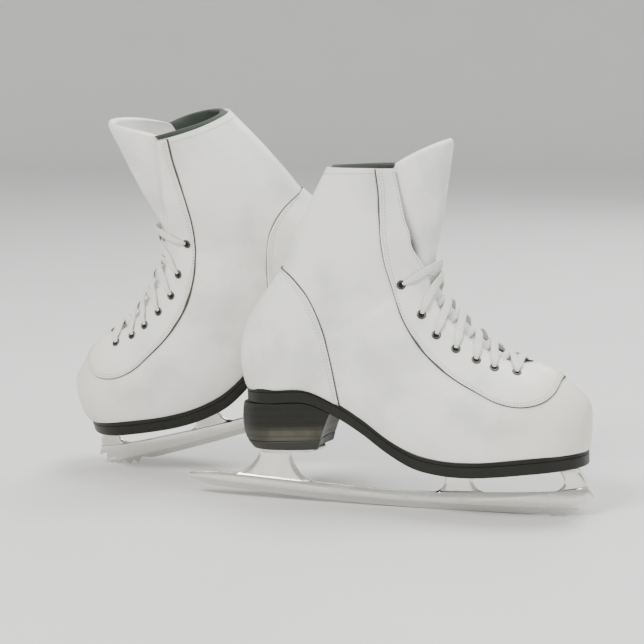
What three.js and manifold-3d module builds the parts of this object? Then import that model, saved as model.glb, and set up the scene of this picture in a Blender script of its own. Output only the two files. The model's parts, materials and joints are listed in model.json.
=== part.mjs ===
// A pair of ladies' figure skates, a right and a left, leaning on each other.
// Millimetres, +Z up. The right skate points along +X, and the left one behind it along -X.
//
// One skate is modelled in its own frame: +X runs to the toe, +Y to the inner side of a right foot
// and +Z up. Its origin is the plane of the heel seat, below the hindmost point of the heel.
// The left skate is the mirrored copy.
import * as THREE from "three";
import { mergeVertices } from "three/addons/utils/BufferGeometryUtils.js";
import Module from "manifold-3d";

const wasm = await Module();
wasm.setup();
const radians = THREE.MathUtils.degToRad;

// ---------------------------------------------------------------- driving dimensions
const clearance = 0.3; // between pieces that touch

// Leather and padding
const leather = 2.4; // wall of the vamp and quarters
const overlay = 1.7; // eyestay and heel counter, sewn on the outside
const padding = 4.2; // ankle padding
const liningRise = 5; // and how far it stands above the cuff
const overCuff = 12; // cuts run on this far above the cuff
const tonguePad = 5; // padded tongue
const welt = 2.6; // the sole's edge stands out from the upper by this

// Sole and heel
const soleThick = 12.5;
const heelDrop = 50; // heel seat to the bottom of the heel
const liftThick = 7; // the lowest layer of the heel
const boardThick = 2.6; // insole board
const bedThick = 4; // removable footbed
const breastBottom = 65; // front face of the heel, at the bottom
const breastRake = 0.3; // and how far it leans forward for each millimetre up

// Blade
const runnerThick = 4;
const stanchionThick = 5;
const plateThick = 2.2;
const rockerRadius = 2134; // a seven-foot rocker
const restPoint = [165, -102]; // where the rocker rests on the ice
const restTilt = 3.3; // angle between the ice and the skate's own level there
const tailEnd = -50;

// Screws
const screwHead = 3.9;
const screwShank = 2;
const screwSides = 6;
const soleScrews = [
  [193, 15],
  [239, 15],
];
const heelScrews = [
  [20, 12],
  [52, 13],
];
const soleScrewLength = 8;
const heelScrewLength = 14;

// Lace
const laceWide = 6;
const laceThick = 2;
const laceLift = 1.1; // the lace's lower face over the eyestay, at its middle line
const laceRows = [4.95, 5.8, 6.6, 7.5, 8.45, 9.8, 14.4]; // eyelet rows, as stations of the last
const eyeletSetback = 10; // eyelet centre behind the edge of the lacing gap

// Tongue
const tongueHinge = [159.5, 97]; // where the tongue bends, in front of the ankle
const tongueWing = 9; // how far the tongue runs in under each edge of the gap

// How each skate stands: where its toe points, how far it leans over to its own +Y, and toe up
const rightPose = { heading: -14, lean: 3, pitch: restTilt };
const leftPose = { heading: 171, lean: 10, pitch: -14.5 };
const leftForward = 106; // the left heel is this far along +X from the right one

// ---------------------------------------------------------------- curves
// A smooth curve y(x) through hand-chosen points.
function curveThrough(points) {
  const slope = points.map((p, i) => {
    const a = points[Math.max(0, i - 1)];
    const b = points[Math.min(points.length - 1, i + 1)];
    return (b[1] - a[1]) / (b[0] - a[0]);
  });
  return (x) => {
    let i = 0;
    while (i < points.length - 2 && x > points[i + 1][0]) i++;
    const [x0, y0] = points[i];
    const [x1, y1] = points[i + 1];
    const w = x1 - x0;
    const t = THREE.MathUtils.clamp((x - x0) / w, 0, 1);
    const [t2, t3] = [t * t, t * t * t];
    return (
      (2 * t3 - 3 * t2 + 1) * y0 +
      (t3 - 2 * t2 + t) * w * slope[i] +
      (3 * t2 - 2 * t3) * y1 +
      (t3 - t2) * w * slope[i + 1]
    );
  };
}

// Height of the sole's upper face along the foot: heel seat, shank, ball and toe.
const soleTop = curveThrough([
  [0, 0],
  [31, 0],
  [57.5, -0.5],
  [79.5, -10.5],
  [100.5, -24],
  [121.5, -40],
  [142, -51.5],
  [163.5, -56.7],
  [185, -58.4],
  [207, -57.8],
  [239, -55.7],
  [280, -54.3],
]);
const heelEnd = 3.5;
const toeEnd = 273.5;
const heelRound = 29;
const toeRound = 42;
const soleWidth = curveThrough([
  [0, 31],
  [41, 31],
  [76.5, 29.5],
  [111.5, 31.5],
  [141, 36.5],
  [172, 41.5],
  [202.5, 44],
  [233.5, 43.5],
  [280, 38],
]);
// Half the width of the sole at x, rounded at the heel and the toe.
function soleHalf(x) {
  const h = THREE.MathUtils.clamp((heelEnd + heelRound - x) / heelRound, 0, 1);
  const t = THREE.MathUtils.clamp((x - toeEnd + toeRound) / toeRound, 0, 1);
  return soleWidth(x) * Math.sqrt(1 - h * h) * (1 - t ** 2.2) ** (1 / 2.2);
}
// The foot's centre line bends to the inner side at the toe, and the shaft stands straight.
const swingAt = curveThrough([
  [0, 0],
  [91.5, 0],
  [151.5, 2],
  [213, 5],
  [280, 8],
]);
const swing = (x, z) => swingAt(x) * THREE.MathUtils.clamp((85 - z) / 60, 0, 1);

// ---------------------------------------------------------------- the boot's form
// Sections fan round from the toe over the instep and up the shaft. Each runs from a point on the
// sole or the back of the boot to one on the instep or the front: [x, z, x, z, half of the greatest
// width, where that lies along the section, how sharp the instep is, half of the flat bottom].
const sunk = 3; // the form runs on below the sole's line, where it is trimmed off
const sole = (x, half, top, wide, crown) => [
  x,
  soleTop(x) - sunk,
  ...top,
  half,
  wide,
  crown,
  Math.max(1.5, soleHalf(x) - welt),
];
const back = (point, half, top, wide, crown) => [...point, ...top, half, wide, crown, 1.5];
const stations = [
  back([276, -45], 3, [277, -29], 0.5, 0.8),
  back([274, -56], 16, [276, -21], 0.4, 0.8),
  sole(270, 27, [272, -14.5], 0.4, 0.8),
  sole(258.5, 37, [261.5, -4.5], 0.39, 0.85),
  sole(241, 43.5, [245, 7], 0.37, 0.95),
  sole(217, 46, [222.5, 16.5], 0.35, 1.1),
  sole(192.5, 46.5, [204.5, 27], 0.34, 1.22),
  sole(163.5, 44, [191, 40], 0.34, 1.28),
  sole(131.5, 39.5, [178.5, 54], 0.36, 1.28),
  sole(101.5, 36.5, [170, 63.5], 0.39, 1.25),
  sole(76.5, 35.5, [166, 71], 0.41, 1.18),
  sole(53.5, 35, [163.5, 78], 0.41, 1.12),
  sole(33, 34.8, [163, 83.5], 0.4, 1.06),
  sole(17.5, 34.6, [162.5, 87.5], 0.38, 1.02),
  back([8, 0], 34.5, [162.5, 91], 0.36, 1),
  back([2.5, 15], 35, [162.5, 95.5], 0.37, 1),
  back([2, 32], 36, [162, 101], 0.4, 1),
  back([7, 49], 37, [162, 107], 0.43, 1),
  back([18.5, 67], 37.8, [161.5, 114], 0.45, 1),
  back([35, 89], 38.3, [160.5, 122], 0.46, 1),
  back([45.5, 112], 38.5, [157, 131], 0.47, 1),
  back([59.5, 140], 38.5, [152, 147], 0.48, 0.97),
  back([77, 171], 38, [145.5, 167], 0.5, 0.95),
];
const cuff = stations.length - 1;
const stationCurves = stations[0].map((_, k) => curveThrough(stations.map((s, i) => [i, s[k]])));
const bottomFlat = 0.12; // share of the way round that is the flat bottom

// The point of the form at station u and way a round: 0 at the sole or back, 1 at the instep, on
// the inner side when positive and the outer side when negative.
function formPoint(u, a) {
  const [bx, bz, tx, tz, half, wide, crown, flat] = stationCurves.map((c) => c(u));
  const round = Math.abs(a);
  let along = 0;
  let across = (flat * round) / bottomFlat;
  if (round > bottomFlat) {
    const turn = (Math.PI * (round - bottomFlat)) / (1 - bottomFlat);
    const rise = Math.sin(turn);
    const low = turn < Math.PI / 2;
    along = low ? wide * (1 - Math.cos(turn)) : wide - (1 - wide) * Math.cos(turn);
    across = low ? flat + (half - flat) * rise : half * Math.max(0, rise) ** crown;
  }
  const x = bx + (tx - bx) * along;
  const z = bz + (tz - bz) * along;
  return new THREE.Vector3(x, swing(x, z) + Math.sign(a) * across, z);
}

function formNormal(u, a) {
  const step = 0.02;
  const v = THREE.MathUtils.clamp(u, 0.3, cuff - step);
  const side = a < 0 ? -1 : 1;
  const w = side * THREE.MathUtils.clamp(Math.abs(a), step, 1 - step);
  const du = formPoint(v + step, w).sub(formPoint(v - step, w));
  const da = formPoint(v, w + step).sub(formPoint(v, w - step));
  const n = du.cross(da).normalize();
  if (Math.abs(a) >= 1 || a === 0) n.y = 0;
  return n.normalize();
}

// The form, moved out by offset (in when negative).
function offsetPoint(u, a, offset) {
  const n = u === 0 ? new THREE.Vector3(1, 0, 0) : formNormal(u, a);
  return formPoint(u, a).addScaledVector(n, offset);
}

// ---------------------------------------------------------------- solids
function toSolid(geometry) {
  const bare = geometry.index ? geometry.toNonIndexed() : geometry.clone();
  bare.deleteAttribute("normal");
  bare.deleteAttribute("uv");
  const merged = mergeVertices(bare, 1e-4);
  const made = new wasm.Manifold(
    new wasm.Mesh({
      numProp: 3,
      vertProperties: merged.attributes.position.array,
      triVerts: new Uint32Array(merged.index.array),
    }),
  );
  return made;
}

// A solid as a geometry. Slivers that a cut leaves behind are dropped.
function toGeometry(solid) {
  const largest = solid.decompose().reduce((a, b) => (a.volume() > b.volume() ? a : b));
  const { numProp, vertProperties, triVerts } = largest.getMesh();
  const at = new THREE.BufferAttribute(new Float32Array(vertProperties), numProp);
  const geometry = new THREE.BufferGeometry().setAttribute("position", at);
  geometry.setIndex(new THREE.BufferAttribute(new Uint32Array(triVerts), 1));
  return geometry;
}

function fromTriangles(points, faces) {
  const at = faces.flat().flatMap((i) => points[i].toArray());
  const geometry = new THREE.BufferGeometry();
  return geometry.setAttribute("position", new THREE.Float32BufferAttribute(at, 3));
}

// A closed solid through rings of equal point count, capped by flat fans.
function loft(rings) {
  const n = rings[0].length;
  const points = rings.flat();
  const faces = [];
  for (let i = 0; i < rings.length - 1; i++) {
    for (let j = 0; j < n; j++) {
      const k = (j + 1) % n;
      const [a, b, c, d] = [i * n + j, i * n + k, (i + 1) * n + k, (i + 1) * n + j];
      faces.push([a, b, c], [a, c, d]);
    }
  }
  for (const [ring, flip] of [
    [0, true],
    [rings.length - 1, false],
  ]) {
    const middle = new THREE.Vector3();
    rings[ring].forEach((p) => middle.addScaledVector(p, 1 / n));
    points.push(middle);
    for (let j = 0; j < n; j++) {
      const [a, b] = [ring * n + j, ring * n + ((j + 1) % n)];
      faces.push(flip ? [b, a, points.length - 1] : [a, b, points.length - 1]);
    }
  }
  const solid = toSolid(fromTriangles(points, faces));
  if (solid.volume() > 0) return solid;
  return toSolid(
    fromTriangles(
      points,
      faces.map(([a, b, c]) => [a, c, b]),
    ),
  );
}

// A prism of an outline in the side view, [x, z] points, between two values of y.
function sideCut(outline, low, high) {
  const shape = new THREE.Shape(outline.map(([x, z]) => new THREE.Vector2(x, z)));
  const prism = new THREE.ExtrudeGeometry(shape, { depth: high - low, bevelEnabled: false });
  prism.rotateX(Math.PI / 2).translate(0, high, 0);
  return toSolid(prism);
}

// A prism of an outline in the plan, [x, y] points, between two heights.
function planCut(outline, low, high) {
  const shape = new THREE.Shape(outline.map(([x, y]) => new THREE.Vector2(x, y)));
  const prism = new THREE.ExtrudeGeometry(shape, { depth: high - low, bevelEnabled: false });
  return toSolid(prism.translate(0, 0, low));
}

// An upright turned solid at x, y through [radius, z] points.
function turned(profile, x, y, sides = screwSides) {
  const lathe = new THREE.LatheGeometry(
    profile.map(([r, z]) => new THREE.Vector2(r, z)),
    sides,
  );
  return toSolid(lathe.rotateX(Math.PI / 2).translate(x, y, 0));
}

// ---------------------------------------------------------------- the sole's layers
const side = 200;
const soleXs = [];
for (let x = -20; x <= 290; x += 15.5) soleXs.push(x);
// The sole's line in the side view, moved out by h.
const soleLine = (h) =>
  soleXs.map((x) => {
    const lean = Math.atan2(soleTop(x + 2) - soleTop(x - 2), 4);
    return [x - h * Math.sin(lean), soleTop(x) + h * Math.cos(lean)];
  });
// All that lies under the sole's line moved out by h, and all that lies over it.
function below(h) {
  return sideCut([...soleLine(h), [290, -side], [-20, -side]], -side, side);
}
function above(h) {
  return sideCut([...soleLine(h), [290, side], [-20, side]], -side, side);
}

// The sole's outline in the plan, moved in by inset.
function soleOutline(inset) {
  const steps = 13;
  const xs = [];
  for (let i = 0; i < steps; i++) {
    const t = (1 - Math.cos((Math.PI * (i + 0.5)) / steps)) / 2;
    xs.push(heelEnd + (toeEnd - heelEnd) * t);
  }
  const edge = (way) => xs.map((x) => [x, swingAt(x) + way * soleHalf(x)]);
  const loop = [...edge(1), ...edge(-1).toReversed()];
  return loop.map(([x, y], i) => {
    const [ax, ay] = loop.at(i - 1);
    const [bx, by] = loop[(i + 1) % loop.length];
    const long = Math.hypot(bx - ax, by - ay);
    return [x + (inset * (by - ay)) / long, y - (inset * (bx - ax)) / long];
  });
}
const layer = (inset, low, high) =>
  planCut(soleOutline(inset), -side, side).intersect(above(low)).intersect(below(high));

// ---------------------------------------------------------------- the upper
const ringWays = [0.12, 0.26, 0.42, 0.58, 0.74, 0.88];
const toeStations = [0, 0.7, 1.5, 2.5, 3.7, 5, 6.3, 7.6];
const shaftStations = [9.2, 11, 12.6, 13.9, 15.3, 16.9, 18.6, 20.3, cuff];
const formStations = [...toeStations, ...shaftStations];

// The space inside the form, moved out by offset, and run on above the cuff by extra.
function formSolid(offset, extra = 0) {
  const ring = (u) => [
    offsetPoint(u, 0, offset),
    ...ringWays.map((a) => offsetPoint(u, a, offset)),
    offsetPoint(u, 1, offset),
    ...ringWays.toReversed().map((a) => offsetPoint(u, -a, offset)),
  ];
  const rings = formStations.map(ring);
  if (extra) rings.push(ring(cuff).map((p) => p.clone().add(new THREE.Vector3(0, 0, extra))));
  return loft(rings);
}

// Half the width of the lacing gap at station u.
const throatEnd = 4.55;
const gapWidth = curveThrough([
  [4.5, 14],
  [5.5, 17],
  [7, 17.5],
  [8.5, 16],
  [10, 14],
  [14, 13],
  [16, 17],
  [18, 23],
  [20, 26],
  [22, 28],
]);
function gapHalf(u) {
  const t = THREE.MathUtils.clamp((u - throatEnd) / 0.6, 0, 1);
  return gapWidth(u) * Math.sqrt(1 - (1 - t) ** 2);
}

// A strip along the instep and up the shaft, as wide as the lacing gap and more on both sides.
function gapSolid(from, to, more, extra) {
  const rings = [];
  const steps = 12;
  for (let i = 0; i <= steps; i++) {
    const u = from + ((to - from) * i) / steps;
    const top = formPoint(u, 1);
    const out = formNormal(u, 1);
    const half = Math.max(1, gapHalf(u) + more);
    const high = top.clone().addScaledVector(out, 20);
    const low = top.clone().addScaledVector(out, -30);
    rings.push(
      [
        [high, -half],
        [high, half],
        [low, half],
        [low, -half],
      ].map(([p, y]) => p.clone().add(new THREE.Vector3(0, y, 0))),
    );
  }
  if (extra) rings.push(rings.at(-1).map((p) => p.clone().add(new THREE.Vector3(0, 0, extra))));
  return loft(rings);
}

const inside = formSolid(-leather, overCuff);
const skin = formSolid(0);
const gap = gapSolid(throatEnd + 0.02, cuff, 0, overCuff);
const floor = layer(welt + leather, -soleThick, boardThick);
const shell = skin.subtract(inside).subtract(gap).subtract(below(0)).subtract(floor);
const vampSeam = [
  [145, -90],
  [191, 60],
];
const vampRegion = [...vampSeam, [300, 60], [300, -90]];
const quarterRegion = [
  [vampSeam[1][0] - clearance, vampSeam[1][1]],
  [vampSeam[0][0] - clearance, vampSeam[0][1]],
  [-30, -90],
  [-30, 200],
  [182, 200],
];
const vamp = shell.intersect(sideCut(vampRegion, -side, side));
const quarterOuter = shell.intersect(sideCut(quarterRegion, -side, -clearance / 2));
const quarterInner = shell.intersect(sideCut(quarterRegion, clearance / 2, side));

// Overlays lie on the shell.
const overlaySkin = formSolid(clearance + overlay).subtract(formSolid(clearance, overCuff));
const eyestaySeam = [
  [122, 172],
  [124, 151],
  [124, 130],
  [124, 112],
  [126, 92],
  [132.5, 66],
  [140.5, 46],
  [153, 27],
  [165.5, 14.5],
  [177.5, 5],
  [192.5, -4],
  [209.5, -13],
  [226.5, -17],
  [242, -15],
  [252, -8],
  [256.5, 4],
];
const eyestayRegion = [...eyestaySeam, [249, 60], [200, 200], [109, 200]];
const eyestay = overlaySkin.subtract(gap);
const eyestayOuter = eyestay.intersect(sideCut(eyestayRegion, -side, -clearance / 2));
const eyestayInner = eyestay.intersect(sideCut(eyestayRegion, clearance / 2, side));

const counterSeam = [
  [26, 96],
  [42.5, 91],
  [53.5, 84],
  [64, 72],
  [71, 56],
  [77, 35],
  [81, 14],
  [85.5, -20],
];
const counterRegion = [...counterSeam, [-20, -20], [-20, 96]];
const heelCounter = overlaySkin
  .intersect(sideCut(counterRegion, -side, side))
  .subtract(below(0))
  .subtract(floor);

// Ankle padding, inside the shell behind the tongue.
const paddingRegion = [
  [-19.5, 22],
  [64, 34],
  [159, 78],
  [182, 120],
  [170, 200],
  [-20, 200],
];
const paddingShell = formSolid(-leather - clearance, liningRise).subtract(
  formSolid(-leather - clearance - padding, overCuff),
);
const anklePadding = paddingShell
  .intersect(sideCut(paddingRegion, -side, side))
  .subtract(gapSolid(7, cuff, tongueWing + 2, overCuff))
  .subtract(gapSolid(5, 17, tongueWing + 1, 0));

// ---------------------------------------------------------------- tongue
// Its lower part lies under the laces, up to the bend.
const tongueOut = -leather - clearance;
const [bendX, bendZ] = tongueHinge;
const bendSlope = 0.25; // the bend leans down inwards, to leave room to swing
const pastBend = [
  [bendX + 20, bendZ - clearance],
  [bendX, bendZ - clearance],
  [bendX - 60, bendZ - clearance - 60 * bendSlope],
  [bendX - 60, bendZ + 120],
  [bendX + 20, bendZ + 120],
];
const tongueBase = formSolid(tongueOut)
  .subtract(formSolid(tongueOut - tonguePad, overCuff))
  .intersect(gapSolid(5, 17, tongueWing, 0))
  .subtract(sideCut(pastBend, -side, side));

// Its upper part swings on the bend in front of the ankle, here pulled forward.
const flapSections = [
  // height above the bend, front x, half width, depth from front to wing tip, drop of the wing tip
  [0.2, 159.5, 11, 12, -6],
  [8, 162, 13.5, 16, -5],
  [28, 167, 20, 29, -2],
  [50, 171, 24.5, 37, 2],
  [70, 174.5, 25, 39, 7],
  [84, 177, 24.5, 39, 12],
  [92, 177.5, 23, 36, 17],
];
const flapWays = [-1, -0.8, -0.6, -0.4, -0.2, 0, 0.2, 0.4, 0.6, 0.8, 1];
const flapTurn = radians(96);
function flapPoint([up, front, half, depth, drop], t, inward) {
  const turn = flapTurn * t;
  const x = front - inward - (depth - inward) * (1 - Math.cos(turn));
  return new THREE.Vector3(x, (half - inward) * Math.sin(turn), bendZ + up - drop * t * t);
}
const tongueFlap = loft(
  flapSections.map((section) => [
    ...flapWays.map((t) => flapPoint(section, t, 0)),
    ...flapWays.toReversed().map((t) => flapPoint(section, t, tonguePad)),
  ]),
);

// ---------------------------------------------------------------- lace
// A flat strip over the instep, crossing from one eyelet to another.
const laceHeight = clearance + overlay + laceLift;
function laceStrip(from, to) {
  const spots = [0, 0.14, 0.29, 0.5, 0.71, 0.86, 1];
  const spot = ([u, y], height) => offsetPoint(u, wayAt(u, y), height);
  const centre = spots.map((t) => from.map((start, k) => start + (to[k] - start) * t));
  const rings = centre.map((c, i) => {
    const low = spot(c, laceHeight);
    const high = spot(c, laceHeight + laceThick);
    const next = spot(centre[Math.min(i + 1, spots.length - 1)], laceHeight);
    const last = spot(centre[Math.max(i - 1, 0)], laceHeight);
    const out = high.clone().sub(low).normalize();
    const wide = next.sub(last).cross(out).setLength(laceWide / 2);
    const corner = (point, way) => point.clone().addScaledVector(wide, way);
    return [corner(low, 1), corner(low, -1), corner(high, -1), corner(high, 1)];
  });
  return loft(rings);
}
// The way round at station u where the form's half width is y, near the instep.
function wayAt(u, y) {
  const half = stationCurves[4](u);
  const crown = stationCurves[6](u);
  const rise = Math.min(1, Math.abs(y) / half) ** (1 / crown);
  const turn = Math.PI - Math.asin(rise);
  const way = bottomFlat + (turn / Math.PI) * (1 - bottomFlat);
  return y < 0 ? -way : way;
}
const eyelet = (row, sign) => [laceRows[row], sign * (gapHalf(laceRows[row]) + eyeletSetback)];
let lace = laceStrip(eyelet(0, -1), eyelet(0, 1));
laceRows.forEach((_, row) => {
  if (row === laceRows.length - 1) return;
  for (const sign of [-1, 1]) {
    lace = lace.add(laceStrip(eyelet(row, sign), eyelet(row + 1, -sign)));
  }
});
lace = lace.add(laceStrip(eyelet(laceRows.length - 1, -1), eyelet(laceRows.length - 1, 1)));

// ---------------------------------------------------------------- sole, board and footbed
const room = formSolid(-leather - 3 * clearance);
const bedLow = boardThick + clearance;
const wall = welt + leather + 2 * clearance;
const insoleBoard = layer(wall, 0, boardThick);
const footbed = layer(wall, bedLow, bedLow + bedThick).intersect(room);

// Screws stand upright through a plate and into the wood or leather above it.
const plateTop = -soleThick - clearance;
const headGap = clearance + 0.3;
function screwAt(x, y, plateLow, long) {
  const low = plateLow - headGap;
  const profile = [
    [0, low - 1.8],
    [screwHead, low - 1.2],
    [screwHead, low],
    [screwShank, low],
    [screwShank, low + long],
    [0, low + long + 1.5],
  ];
  return turned(profile, x, y);
}
const screwHole = (x, y) =>
  turned(
    [
      [0, -side],
      [screwShank + clearance, -side],
      [screwShank + clearance, 0],
      [0, 0],
    ],
    x,
    y,
  );
const pairs = (list) => list.flatMap(([x, y]) => [-y, y].map((w) => [x, w + swingAt(x)]));
const soleScrewAt = pairs(soleScrews);
const heelScrewAt = pairs(heelScrews);
// The sole's line is curved, so each hole stops short of its upper face.
const holes = (places, top) =>
  places.map(([x, y]) => screwHole(x, y).translate(0, 0, top(x))).reduce((a, b) => a.add(b));

const soleHoleTop = (x) => soleTop(x) - 3;
const soleHoles = holes(soleScrewAt, soleHoleTop);
const outsole = layer(0, -soleThick, -clearance).subtract(soleHoles);

// ---------------------------------------------------------------- heel
const heelBack = curveThrough([
  [-heelDrop, 6.5],
  [-heelDrop + liftThick, 1.5],
  [-34, -1],
  [-20, -1],
  [0, 3],
]);
const heelTaper = 0.06; // how far each side leans in for each millimetre down
function heelRing(z) {
  const steps = 7;
  const backX = heelBack(z);
  const front = breastBottom + (z + heelDrop) * breastRake;
  const xs = [];
  for (let i = 0; i < steps; i++) {
    const t = 1 - Math.cos((Math.PI * (i + 0.5)) / (2 * steps - 1));
    xs.push(backX + (front - backX) * t);
  }
  const half = (x) => {
    const h = THREE.MathUtils.clamp((backX + heelRound - x) / heelRound, 0, 1);
    return (soleWidth(x) - 0.5 + z * heelTaper) * Math.sqrt(1 - h * h);
  };
  return [
    ...xs.map((x) => new THREE.Vector3(x, half(x), z)),
    ...xs.toReversed().map((x) => new THREE.Vector3(x, -half(x), z)),
  ];
}
const liftTop = -heelDrop + liftThick;
const heelHoleTop = () => -heelDrop + heelScrewLength;
const heelHoles = holes(heelScrewAt, heelHoleTop);
const heelBlock = loft([liftTop + clearance, -34, -22, -6].map(heelRing))
  .subtract(above(-soleThick - clearance))
  .subtract(heelHoles);
const heelLift = loft([-heelDrop, -heelDrop + 3, liftTop].map(heelRing)).subtract(heelHoles);

// ---------------------------------------------------------------- blade
const solePlateHalf = curveThrough([
  [160, 8],
  [166, 17],
  [178, 23],
  [203, 25],
  [233, 24],
  [253, 19],
  [265, 10],
]);
const heelPlateHalf = curveThrough([
  [13, 9],
  [18, 16],
  [32, 20],
  [50, 21],
  [60, 17],
  [64, 10],
]);
function plateOutline(half, xs) {
  const edge = (way) => xs.map((x) => [x, swingAt(x) + way * half(x)]);
  return [...edge(1), ...edge(-1).toReversed()];
}
const plateLow = plateTop - plateThick;
const solePlateXs = [160, 163, 168, 176, 189, 211, 233, 249, 259, 265];
const solePlate = planCut(plateOutline(solePlateHalf, solePlateXs), -side, side)
  .intersect(above(plateLow))
  .intersect(below(plateTop))
  .subtract(soleHoles);
const heelPlateTop = -heelDrop - clearance;
const heelPlateLow = heelPlateTop - plateThick;
const heelPlateOutline = plateOutline(heelPlateHalf, [13, 15, 20, 30, 48, 58, 62, 64]);
const heelPlate = planCut(heelPlateOutline, heelPlateLow, heelPlateTop).subtract(heelHoles);

// The rocker is made of flat facets. One of them lies on the ice.
const facet = 24;
const [restX, restZ] = restPoint;
const iceAt = (x) => restZ - Math.tan(radians(restTilt)) * (x - restX);
const rocker = (x) => iceAt(x) + ((x - restX) ** 2 - (facet / 2) ** 2) / (2 * rockerRadius);
const rockerXs = [];
for (let k = 2.5; k >= -8; k--) rockerXs.push(restX + facet * k);
const pickTeeth = [
  [274.5, -78],
  [273.5, -86],
  [277, -92],
  [270.5, -91.5],
  [272, -98.5],
  [265, -96.5],
  [264, -103],
  [256.5, -100.5],
  [253.5, -106],
  [248, -103],
];
const runnerTop = curveThrough([
  [-50.5, -70.5],
  [-24.5, -71],
  [16.5, -74.5],
  [57, -79.5],
  [108.5, -85],
  [159.5, -88],
  [201, -88.5],
  [242, -88],
  [265, -86],
  [274, -84.5],
]);
const runnerOutline = [
  [271, runnerTop(271)],
  ...pickTeeth.slice(1),
  [245, iceAt(245)],
  [240, rocker(240) + 3],
  [231, rocker(231) + 0.5],
  ...rockerXs.filter((x) => x < 225 && x > -35).map((x) => [x, rocker(x)]),
  [-38, rocker(-38) + 0.8],
  [-47, rocker(-47) + 3.4],
  [tailEnd - 1, -75],
  [tailEnd + 1, -70.8],
  ...[-30, -5, 20, 48, 80, 110, 140, 165, 200, 235, 257].map((x) => [x, runnerTop(x)]),
];
const flatPiece = (outline, thick) => sideCut(outline, -thick / 2, thick / 2);
const runner = flatPiece(runnerOutline, runnerThick);

const underRunnerTop = (gapUp) => {
  const xs = [-45, -30, -5, 20, 48, 80, 110, 140, 165, 200, 235, 257, 271, 290];
  const line = xs.map((x) => [x, runnerTop(Math.min(x, 271)) + gapUp]);
  return sideCut([...line, [290, -side], [-45, -side]], -side, side);
};
const stanchionTop = heelPlateLow - clearance;
const overHeelPlate = [
  [-60, stanchionTop],
  [100, stanchionTop],
  [100, side],
  [-60, side],
];
const onRunner = (outline) => flatPiece(outline, stanchionThick).subtract(underRunnerTop(clearance));
const rearStanchion = onRunner([
  [10.5, -45],
  [10, -57],
  [4.5, -64],
  [-4, -70],
  [-14, -76],
  [60, -85],
  [48, -77],
  [40, -69],
  [36, -60],
  [35, -45],
]).subtract(sideCut(overHeelPlate, -side, side));
const underPlate = above(plateLow - clearance);
const middleStanchion = onRunner([
  [157, -60],
  [158.5, -72],
  [161.5, -78],
  [158, -84],
  [145, -95],
  [196.5, -95],
  [184.5, -84],
  [182, -78],
  [187.5, -72],
  [192, -60],
]).subtract(underPlate);
const toeStanchion = onRunner([
  [248, -60],
  [253, -74],
  [256, -80],
  [252.5, -86],
  [246, -95],
  [270.5, -95],
  [271, -88],
  [272, -78],
  [266.5, -60],
]).subtract(underPlate);

// ---------------------------------------------------------------- one skate
const whiteLeather = ["#e6e5df", 0.42, 0];
const whiteTrim = ["#dfded8", 0.45, 0];
const grey = ["#5b6159", 0.9, 0];
const tan = ["#b9a88c", 0.8, 0];
const black = ["#2b2a26", 0.4, 0];
const silver = ["#d9d8ce", 0.25, 1];
const steel = ["#a9a8a2", 0.35, 1];
const laceWhite = ["#edece6", 0.85, 0];
const pieces = {
  outsole: [outsole, black],
  heel_block: [heelBlock, black],
  heel_lift: [heelLift, black],
  insole_board: [insoleBoard, tan],
  footbed: [footbed, grey],
  vamp: [vamp, whiteLeather],
  quarter_outer: [quarterOuter, whiteLeather],
  quarter_inner: [quarterInner, whiteLeather],
  eyestay_outer: [eyestayOuter, whiteTrim],
  eyestay_inner: [eyestayInner, whiteTrim],
  heel_counter: [heelCounter, whiteTrim],
  ankle_padding: [anklePadding, grey],
  tongue_base: [tongueBase, whiteLeather],
  tongue_flap: [tongueFlap, whiteLeather],
  lace: [lace, laceWhite],
  sole_plate: [solePlate, silver],
  heel_plate: [heelPlate, silver],
  runner: [runner, steel],
  rear_stanchion: [rearStanchion, silver],
  middle_stanchion: [middleStanchion, silver],
  toe_stanchion: [toeStanchion, silver],
};
soleScrewAt.forEach(([x, y], i) => {
  const low = soleTop(x) - soleThick - clearance - plateThick;
  pieces[`sole_screw_${i + 1}`] = [screwAt(x, y, low, soleScrewLength), steel];
});
heelScrewAt.forEach(([x, y], i) => {
  pieces[`heel_screw_${i + 1}`] = [screwAt(x, y, heelPlateLow, heelScrewLength), steel];
});

function skate(prefix) {
  const group = new THREE.Group();
  for (const [name, [solid, [color, roughness, metalness]]] of Object.entries(pieces)) {
    const material = new THREE.MeshStandardMaterial({ color, roughness, metalness });
    const mesh = new THREE.Mesh(toGeometry(solid), material);
    mesh.name = `${prefix}_${name}`;
    group.add(mesh);
  }
  return group;
}

// ---------------------------------------------------------------- the pair
function stand(group, { heading, lean, pitch }) {
  const turn = (axis, angle) => new THREE.Quaternion().setFromAxisAngle(axis, radians(angle));
  const [x, y, z] = [new THREE.Vector3(1, 0, 0), new THREE.Vector3(0, 1, 0), new THREE.Vector3(0, 0, 1)];
  group.quaternion.copy(turn(z, heading)).multiply(turn(x, -lean)).multiply(turn(y, -pitch));
  group.updateMatrixWorld(true);
  group.position.z -= new THREE.Box3().setFromObject(group, true).min.z;
}
const right = skate("right");
stand(right, rightPose);
const left = skate("left");
left.scale.y = -1;
stand(left, leftPose);
left.position.x = leftForward;

// The left skate comes forward until its boot rests on the right one.
function whole(group) {
  group.updateMatrixWorld(true);
  const m = group.matrixWorld.toArray();
  return Object.values(pieces).map(([solid]) => solid.transform(m));
}
const rightSolids = whole(right);
const touches = (y) => {
  left.position.y = y;
  const leftSolids = whole(left);
  return leftSolids.some((a) => rightSolids.some((b) => a.intersect(b).volume() > 0));
};
let [near, far] = [0, 200];
while (far - near > 0.05) {
  const middle = (near + far) / 2;
  if (touches(middle)) near = middle;
  else far = middle;
}
left.position.y = far + clearance;

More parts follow.
